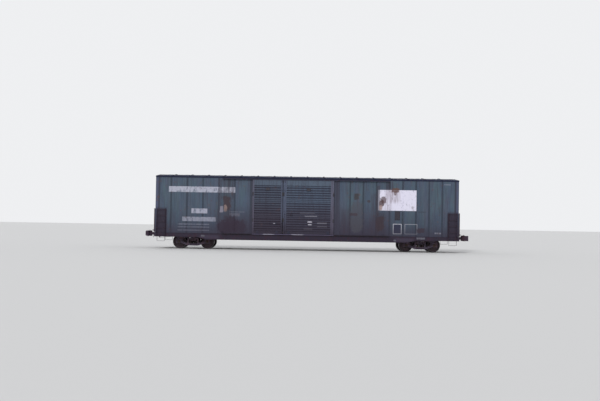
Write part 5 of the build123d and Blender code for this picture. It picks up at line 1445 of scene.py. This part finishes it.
# %% [markdown]
# ## Air brake piping
# Air goes from the train line through a branch with a dirt collector to the control valve, and from there
# to the reservoir and, under the centre sill, to the cylinder on the other side. Pipe is black iron with
# short bends. Each run is one pipe through its corners, and its ends lie inside the parts that it joins, so
# nothing ends in the air. Nuts, tees and the dirt collector are short round bars over it.

# %% Pipes, tees and reservoir fittings
valve = Vector((-0.870, 0.770, 0.785))
cylinder = Vector((0.900, -0.770, 0.713))
tank = Vector((-2.480, 0.770, 0.825))
piping = [
    pipe([(-2.02, y, 0.79), (near, y, 0.79), (low, y, 0.738), (-1.15, y, 0.738), (-0.95, y, end)], 13 * mm)
    for y, near, low, end in ((0.72, -1.92, -1.84, 0.760), (0.82, -1.90, -1.80, 0.770))
]
piping += [
    pipe([(-0.79, 0.80, 0.74), (-0.40, 0.80, 0.670), (-0.40, -0.55, 0.670), (1.21, -0.55, 0.670),
          (1.21, -0.77, 0.700), (1.08, -0.77, 0.713)], 11 * mm, 0.07),
    pipe([(-1.20, 0.30, 0.900), (-1.20, 0.46, 0.900), (-1.06, 0.60, 0.850), (-0.94, 0.70, 0.840)], 16 * mm),
    round_bar((-1.27, 0.300, 0.900), (-1.13, 0.300, 0.900), 33 * mm, 16),
    round_bar((-1.20, 0.335, 0.900), (-1.20, 0.385, 0.900), 27 * mm),
    round_bar((-1.12, 0.535, 0.905), (-1.12, 0.535, 0.800), 42 * mm, 20),
    round_bar((-1.12, 0.535, 0.800), (-1.12, 0.535, 0.765), 24 * mm),
    round_bar(tank + Vector((0, 0, -0.172)), tank + Vector((0, 0, -0.225)), 14 * mm),
    bar((tank.x - 0.05, tank.x + 0.05), (tank.y - 5 * mm, tank.y + 5 * mm), (0.606, 0.616), 1),
]
for x in (-2.055, -2.905):
    outer = x + math.copysign(0.06, x - tank.x)
    for y in (tank.y - 0.05, tank.y + 0.05):
        piping.append(round_bar((x, y, 0.79), (outer, y, 0.79), 24 * mm))
for x in (tank.x - 0.28, tank.x + 0.28):
    piping.append(round_bar((x - 18 * mm, tank.y, tank.z), (x + 18 * mm, tank.y, tank.z), 0.180, 40))
    for y in (0.575, 0.965):
        piping.append(set_at(bolt, (x, y, 0.886), DOWN))
for i in range(6):
    angle = math.tau * i / 6
    across, up = math.cos(angle), math.sin(angle)
    for side in (-1, 1):
        spot = (valve.x + 0.080 * across, valve.y + side * 0.205, valve.z + 0.080 * up)
        piping.append(set_at(small_bolt, spot, (0, side, 0)))
    for x, face in ((cylinder.x + 0.185, 1), (cylinder.x - 0.185, -1)):
        piping.append(set_at(bolt, (x, cylinder.y + 0.123 * across, cylinder.z + 0.123 * up), (face, 0, 0)))
fit(join(piping), "air_brake_piping", "car_body", brake_paint)

# %% [markdown]
# ## Hand brake gear
# Turning the wheel winds a chain in the housing and lifts the rod beside it. A sheave under the end sill
# turns that pull along the car, where a long rod runs under the frame to the cylinder lever in loops that
# carry it. A link is a ring squeezed to an oval, and every second one is turned a quarter. An Array along a
# curve would carry links round a bend, but these two chains are straight, so spots along a line do.

# %% Chain, sheave and long rod
def chain(start, end, link=0.052, wire=5 * mm):
    """Oval links from point to point, every second one turned a quarter."""
    run = Vector(end) - Vector(start)
    count = max(2, round(run.length / (link - 2 * wire)))
    links = []
    for i in range(count):
        oval = ring((0, 0, 0), link * 0.36, wire, around=12)
        edit(oval)
        bpy.ops.transform.resize(value=(1.25, 0.8, 1))
        done(oval)
        along = run.to_track_quat("X", "Z").to_matrix().to_4x4()
        spot = Vector(start) + run * ((i + 0.5) / count)
        oval.data.transform(Matrix.Translation(spot) @ along @ Matrix.Rotation(math.pi / 2 * (i % 2), 4, "X"))
        links.append(oval)
    return join(links)


rod_y, rod_z = 0.235, 0.716
lever_pin_x = 0.335
hand_gear = [
    chain((-9.453, 0.540, 0.815), (-9.453, 0.540, 0.690)),
    round_bar((-9.408, 0.522, 0.680), (-9.408, 0.558, 0.680), 45 * mm, 24),
    round_bar((-9.408, 0.500, 0.680), (-9.408, 0.580, 0.680), 12 * mm),
    bar((-9.436, -9.380), (0.500, 0.508), (0.650, 0.760), 2),
    bar((-9.436, -9.380), (0.572, 0.580), (0.650, 0.760), 2),
    chain((-9.400, 0.540, 0.636), (-9.240, 0.500, 0.650)),
    pipe([(-9.240, 0.500, 0.650), (-8.700, rod_y, 0.700), (-8.500, rod_y, rod_z), (0.330, rod_y, rod_z)],
         10 * mm, 0.10),
    bar((0.305, 0.365), (0.115, 0.262), (0.726, 0.736), 2),
    round_bar((lever_pin_x, 0.135, 0.692), (lever_pin_x, 0.135, 0.744), 13 * mm),
    round_bar((lever_pin_x, rod_y, 0.692), (lever_pin_x, rod_y, 0.744), 13 * mm),
]
for x in (-4.95, -3.30, -1.65, 0.0):
    hand_gear.append(bar((x - 14 * mm, x + 14 * mm), (rod_y - 30 * mm, rod_y + 30 * mm), (0.696, 0.702), 1))
    for side in (-1, 1):
        hand_gear.append(bar((x - 14 * mm, x + 14 * mm), (rod_y + side * 24 * mm, rod_y + side * 30 * mm),
                             (0.702, 0.772), 1))
for x in (2.40, 3.07):
    hand_gear.append(round_bar((x, -0.155, 0.713), (x + 0.03, -0.155, 0.713), 38 * mm, 20))
fit(join(hand_gear), "hand_brake_gear", "car_body", brake_paint)

# %% [markdown]
# ## Hand brake housing
# The gear housing is a casting with a bolted cover, a boss round the shaft, a release lever and a nut on
# the wheel. A small retaining valve hangs beside it, and its thin pipe runs down under the end sill. Most
# of these parts were turned on a lathe, so they are short round bars set end to end.

# %% Housing fittings and retaining valve
brake_y, brake_z = 0.480, 2.010
housing_face, hub_face = -9.538, -9.632
release_y, release_z = brake_y + 0.075, 1.855
retainer_x, retainer_y = -9.452, 0.800
end_parts = [
    round_bar((housing_face, brake_y, brake_z), (housing_face - 18 * mm, brake_y, brake_z), 62 * mm, 24),
    round_bar((hub_face + 12 * mm, brake_y, brake_z), (hub_face, brake_y, brake_z), 34 * mm, 20),
    set_at(bolt, (hub_face, brake_y, brake_z), (-1, 0, 0)),
    round_bar((housing_face, release_y, release_z), (housing_face - 22 * mm, release_y, release_z), 20 * mm),
    pipe([(housing_face - 14 * mm, release_y, release_z), (housing_face - 20 * mm, brake_y - 0.045, 1.812),
          (housing_face - 44 * mm, brake_y - 0.125, 1.806)], 8 * mm, 0.03),
    bar((-9.424, -9.404), (retainer_y - 0.045, retainer_y + 0.045), (1.690, 1.850), 4),
    round_bar((retainer_x, retainer_y, 1.840), (retainer_x, retainer_y, 1.720), 30 * mm, 20),
    round_bar((retainer_x, retainer_y, 1.862), (retainer_x, retainer_y, 1.840), 20 * mm, 16),
    bar((retainer_x - 8 * mm, retainer_x + 8 * mm), (retainer_y, retainer_y + 0.076), (1.852, 1.862), 2),
    pipe([(retainer_x, retainer_y, 1.725), (retainer_x, retainer_y, 0.700), (-9.200, retainer_y, 0.700),
          (-9.200, retainer_y, 0.820)], 8 * mm, 0.05),
]
for y in (brake_y - 0.105, brake_y + 0.105):
    for z in (1.812, 2.128):
        end_parts.append(set_at(small_bolt, (housing_face + 1 * mm, y, z), (-1, 0, 0)))
for z in (1.05, 1.45):
    end_parts.append(bar((-9.462, -body_end), (retainer_y - 12 * mm, retainer_y + 12 * mm),
                         (z - 12 * mm, z + 12 * mm), 2))
fit(join(end_parts), "hand_brake_fittings", "car_body", brake_paint)

# %% [markdown]
# ## Couplers
# The knuckle turns on a pin with a forged head above and a cotter below. The lock lifter's eye stands on
# the head, and bolted carrier plates hold the draft gear up between the sills. The fittings are made on one
# coupler, and a copy turned half round rides the other, so that each swings with its own joint.

# %% Coupler fittings and draft gear carriers
pin_x, pin_y = 10.025, 0.120
pin_top, pin_foot = coupler_z + 0.177, coupler_z - 0.177
head_parts = [
    round_bar((pin_x, pin_y, pin_top - 4 * mm), (pin_x, pin_y, pin_top + 14 * mm), 34 * mm, 20),
    round_bar((pin_x, pin_y, pin_foot - 16 * mm), (pin_x, pin_y, pin_foot), 16 * mm),
    round_bar((pin_x - 0.035, pin_y, pin_foot - 9 * mm), (pin_x + 0.035, pin_y, pin_foot - 9 * mm), 4 * mm),
    bar((9.905, 9.985), (-0.055, -0.015), (1.064, 1.098), 8),
    bar((9.835, 9.850), (-0.140, 0.140), (0.960, 1.082), 5),
    bar((9.835, 9.990), (-0.115, -0.095), (1.064, 1.082), 5),
]
head_parts.append(ring((9.945, -0.035, 1.104), 20 * mm, 5 * mm, (math.pi / 2, 0, 0)))
head_parts = join(head_parts)
far_head = copy_of(head_parts, HALF_TURN)
fit(head_parts, "coupler_a_fittings", "coupler_a", coupler_casting)
fit(far_head, "coupler_b_fittings", "coupler_b", coupler_casting)

carrier_z = 0.739
carrier_parts = []
for x in (8.46, 9.06):
    carrier_parts.append(bar((x - 0.11, x + 0.11), (-0.196, 0.196), (carrier_z, carrier_z + 14 * mm), 3))
    for dx in (-0.075, 0.075):
        for y in (-0.178, 0.178):
            carrier_parts.append(set_at(bolt, (x + dx, y, carrier_z), DOWN))
for y in (-0.228, 0.228):
    for z in (0.800, 0.865, 0.945, 1.015):
        carrier_parts.append(set_at(big_rivet, (9.414, y, z), TO_END))
for y in (-0.11, 0.11):
    carrier_parts.append(set_at(bolt, (9.550, y, 0.771), DOWN))
fit(both_ways_round(carrier_parts), "draft_gear_carriers", "car_body", coupler_casting)

# %% [markdown]
# ## Crossover platforms
# A platform is a step across the end of the car. Its top is raised into a tread of small buttons, and two
# bent braces with bolted feet carry it from the end sill. The buttons are rivet heads in rows again, and
# the braces are bent pipe, which keeps its width through the bend where a bar that is sheared would not.

# %% Treads, braces and feet
platform_top = 1.143
platform = []
for x in (9.440, 9.480, 9.520, 9.560, 9.600):
    platform.append(line(rivet, (x, -0.73, platform_top), (x, 0.73, platform_top), UP, 0.052))
for y in (-0.62, 0.62):
    platform.append(pipe([(9.398, y, 0.905), (9.432, y, 0.905), (9.618, y, 1.108)], 11 * mm, 0.03))
    platform.append(bar((9.600, 9.640), (y - 22 * mm, y + 22 * mm), (1.101, 1.111), 2))
    for z in (0.885, 0.925):
        for side in (20 * mm, -20 * mm):
            platform.append(set_at(small_bolt, (end_sill_face, y + side, z), TO_END))
fit(both_ways_round(platform), "platform_treads", "car_body", ladder_paint)

# %% [markdown]
# ## Uncoupling levers
# The lever's inner end is bent to an eye for the chain that lifts the coupler's lock, and its brackets on
# the end sill each have two bolts. The eye is a torus laid flat. A bracket is a plate with two collars, and
# the lever turns in them.

# %% Lever eyes and bracket bolts
lever_x, lever_z = 9.450, 0.940
bracket_face = end_sill_face + 8 * mm
lever_parts = [ring((9.655, 0.245, lever_z), 22 * mm, 8 * mm, section=8)]
for y in (0.520, 1.300):
    lever_parts.append(bar((end_sill_face, bracket_face), (y - 36 * mm, y + 36 * mm),
                           (lever_z - 28 * mm, lever_z + 28 * mm), 2))
    for side in (-24 * mm, 24 * mm):
        lever_parts.append(set_at(small_bolt, (bracket_face, y + side, lever_z), TO_END))
    for side in (y - 14 * mm, y + 14 * mm):
        lever_parts.append(round_bar((lever_x, side - 4 * mm, lever_z), (lever_x, side + 4 * mm, lever_z),
                                     20 * mm, 16))
fit(both_ways_round(lever_parts), "uncoupling_lever_fittings", "car_body", ladder_paint)

# %% [markdown]
# ## Roping staples and plain plates
# Near each truck a bent staple hangs from the sill for pulling the car with a rope. Small plates are
# riveted to the sill. They are left blank. A staple is a pipe through four points. A plate is a thin bar
# with its face inset and sunk by a millimetre, so that its rim catches the light where a flat face would
# look pasted on.

# %% Staples and plates
staple_u, staple_top, staple_foot = 1.482, 0.700, 0.575
staples = []
for x in (-6.20, 6.20):
    left, right = x - 0.075, x + 0.075
    staples.append(pipe([(left, -staple_u, staple_top), (left, -staple_u, staple_foot),
                         (right, -staple_u, staple_foot), (right, -staple_u, staple_top)], 13 * mm, 0.045))
fit(both_ways_round(staples), "roping_staples", "car_body", sill_paint)

plate_face = sill_face + 12 * mm
plates = []
for x, z, width, height in ((7.02, 0.875, 0.52, 0.12), (-6.40, 0.820, 0.22, 0.11), (5.42, 0.72, 0.16, 0.10)):
    blank = bar((x - width / 2, x + width / 2), (-plate_face, -sill_face),
                (z - height / 2, z + height / 2), 1)
    edit(blank, lambda centre, normal: normal.y < -0.9)
    bpy.ops.mesh.inset(thickness=6 * mm, depth=-1 * mm)
    plates.append(done(blank))
    for side in (-1, 1):
        plates.append(set_at(small_bolt, (x + side * (width / 2 - 16 * mm), -plate_face, z), OUT))
# Galvanised sheet that has gone dull: pale grey with a soft gleam.
plate_finish = dirty_steel("dull_galvanised_plate", "6b6c79", "55535f", "574549", 0.5, 0.4, grain=3.0,
                           rust_share=0.62)
fit(both_ways_round(plates), "blank_plates", "car_body", plate_finish)

# %% [markdown]
# ## Placard board
# A board stands on the side below the big pale patch: a steel sheet in a rim, held by four bolts. It
# carries nothing. The rim is four flat bars lapped at the corners. One inset face would be quicker, but its
# corners would be mitred like a picture frame.

# %% Rim and bolts of the boards
board_x, board_z, board_face = 5.570, 2.255, 1.520
rim_half_width, rim_half_height, rim_width = 0.158, 0.272, 16 * mm
rim_depth = (-board_face - 5 * mm, -board_face + 3 * mm)
board_parts = []
for side in (-1, 1):
    flat_rim = (board_z + side * (rim_half_height - rim_width), board_z + side * rim_half_height)
    upright_rim = (board_x + side * (rim_half_width - rim_width), board_x + side * rim_half_width)
    board_parts.append(bar((board_x - rim_half_width, board_x + rim_half_width), rim_depth, flat_rim))
    board_parts.append(bar(upright_rim, rim_depth, (board_z - rim_half_height, board_z + rim_half_height)))
    for up in (-1, 1):
        spot = (board_x + side * 0.115, -board_face, board_z + up * 0.225)
        board_parts.append(set_at(small_bolt, spot, OUT))
fit(both_ways_round(board_parts), "placard_board_rims", "car_body", board_finish)

# %% [markdown]
# ## Inside the car
# Pressed carlines hold up the roof sheets at each seam. The plywood lining has steel rails with slots for
# load bars, and countersunk screws hold the threshold plates. All this shows when a door stands open. A
# rail's slot is two insets of its face, the second one inwards, with a row of heads along it. A carline is
# a pair of round bars that meet under the ridge.

# %% Carlines, load rails and threshold screws
carlines = []
for i in range(1, roof_bays):
    x = -body_end + bay * i
    for side in (-1, 1):
        carlines.append(round_bar((x, side * 1.41, 4.430), (x, 0, 4.573), 26 * mm, 8))
    carlines.append(round_bar((x - 0.06, 0, 4.572), (x + 0.06, 0, 4.572), 30 * mm, 8))
fit(join(carlines), "roof_carlines", "car_body", roof_finish)

lining_end = 9.20
slot_face = lining_face - 4 * mm
rails = []
for start, end in ((-lining_end, opening_left - 0.06), (opening_right + 0.06, lining_end)):
    for z in (1.75, 2.45, 3.15, 3.85):
        rail = bar((start, end), (-lining_face, -lining_face + 5 * mm), (z - 32 * mm, z + 32 * mm), 1)
        edit(rail, lambda centre, normal: normal.y > 0.9)
        bpy.ops.mesh.inset(thickness=18 * mm)
        bpy.ops.mesh.inset(thickness=2 * mm, depth=-3 * mm)
        rails.append(done(rail))
        rails.append(line(rivet, (start + 0.05, -slot_face, z), (end - 0.05, -slot_face, z), (0, 1, 0), 0.30))
fit(both_ways_round(rails), "load_rails", "car_body", track_steel)

screw_z = floor_top - 2 * mm
screws = []
for y in (-1.47, -1.43):
    start, end = (opening_left + 0.06, y, screw_z), (opening_right - 0.06, y, screw_z)
    screws.append(line(rivet, start, end, UP, 0.15))
fit(both_ways_round(screws), "threshold_screws", "car_body", bright_steel)

# %% [markdown]
# ## Clearing the bench
# The patterns that the rows were copied from aren't part of the car.

# %% Remove the patterns
for pattern in patterns:
    bpy.data.objects.remove(pattern)
print("added pieces:", len(added_triangles), "with", sum(added_triangles.values()), "triangles")

# %% [markdown]
# ## Studio
# The car stands on a plain pale floor that runs into a pale background, under an even sky and one soft sun
# from the camera's left. Light Path makes the sky a little brighter to the camera and in reflections, so
# the background is pale and the car gets no more light for it.

# %% Floor and light
bpy.ops.mesh.primitive_plane_add(size=600, location=(0, 0, 0))
floor = bpy.context.object
floor.name = "studio_floor"
studio_grey, studio_shader = new_finish("studio_paper", 0.9)
studio_shader.inputs["Base Color"].default_value = linear("cfcfcf")
floor.data.materials.append(studio_grey)

world = bpy.data.worlds.new("even_sky")
bpy.context.scene.world = world
world.use_nodes = True
sky = world.node_tree.nodes["Background"]
rays = add_node(world, "ShaderNodeLightPath")
seen = add_node(world, "ShaderNodeMath", {0: rays.outputs["Is Camera Ray"], 1: rays.outputs["Is Glossy Ray"]},
                operation="MAXIMUM").outputs[0]
seen = add_node(world, "ShaderNodeMath", {0: seen, 1: rays.outputs["Is Transmission Ray"]},
                operation="MAXIMUM").outputs[0]
strength = add_node(world, "ShaderNodeMapRange", {"Value": seen, "To Min": 0.85, "To Max": 0.95}).outputs[0]
world.node_tree.links.new(strength, sky.inputs["Strength"])
sky.inputs["Color"].default_value = linear("f4f5f7")

bpy.ops.object.light_add(type="SUN", rotation=(math.radians(52), 0, math.radians(-24)))
sun = bpy.context.object
sun.data.energy = 1.2
sun.data.angle = math.radians(12)
bpy.context.scene.view_settings.view_transform = "Standard"
print("sun", sun.data.energy)
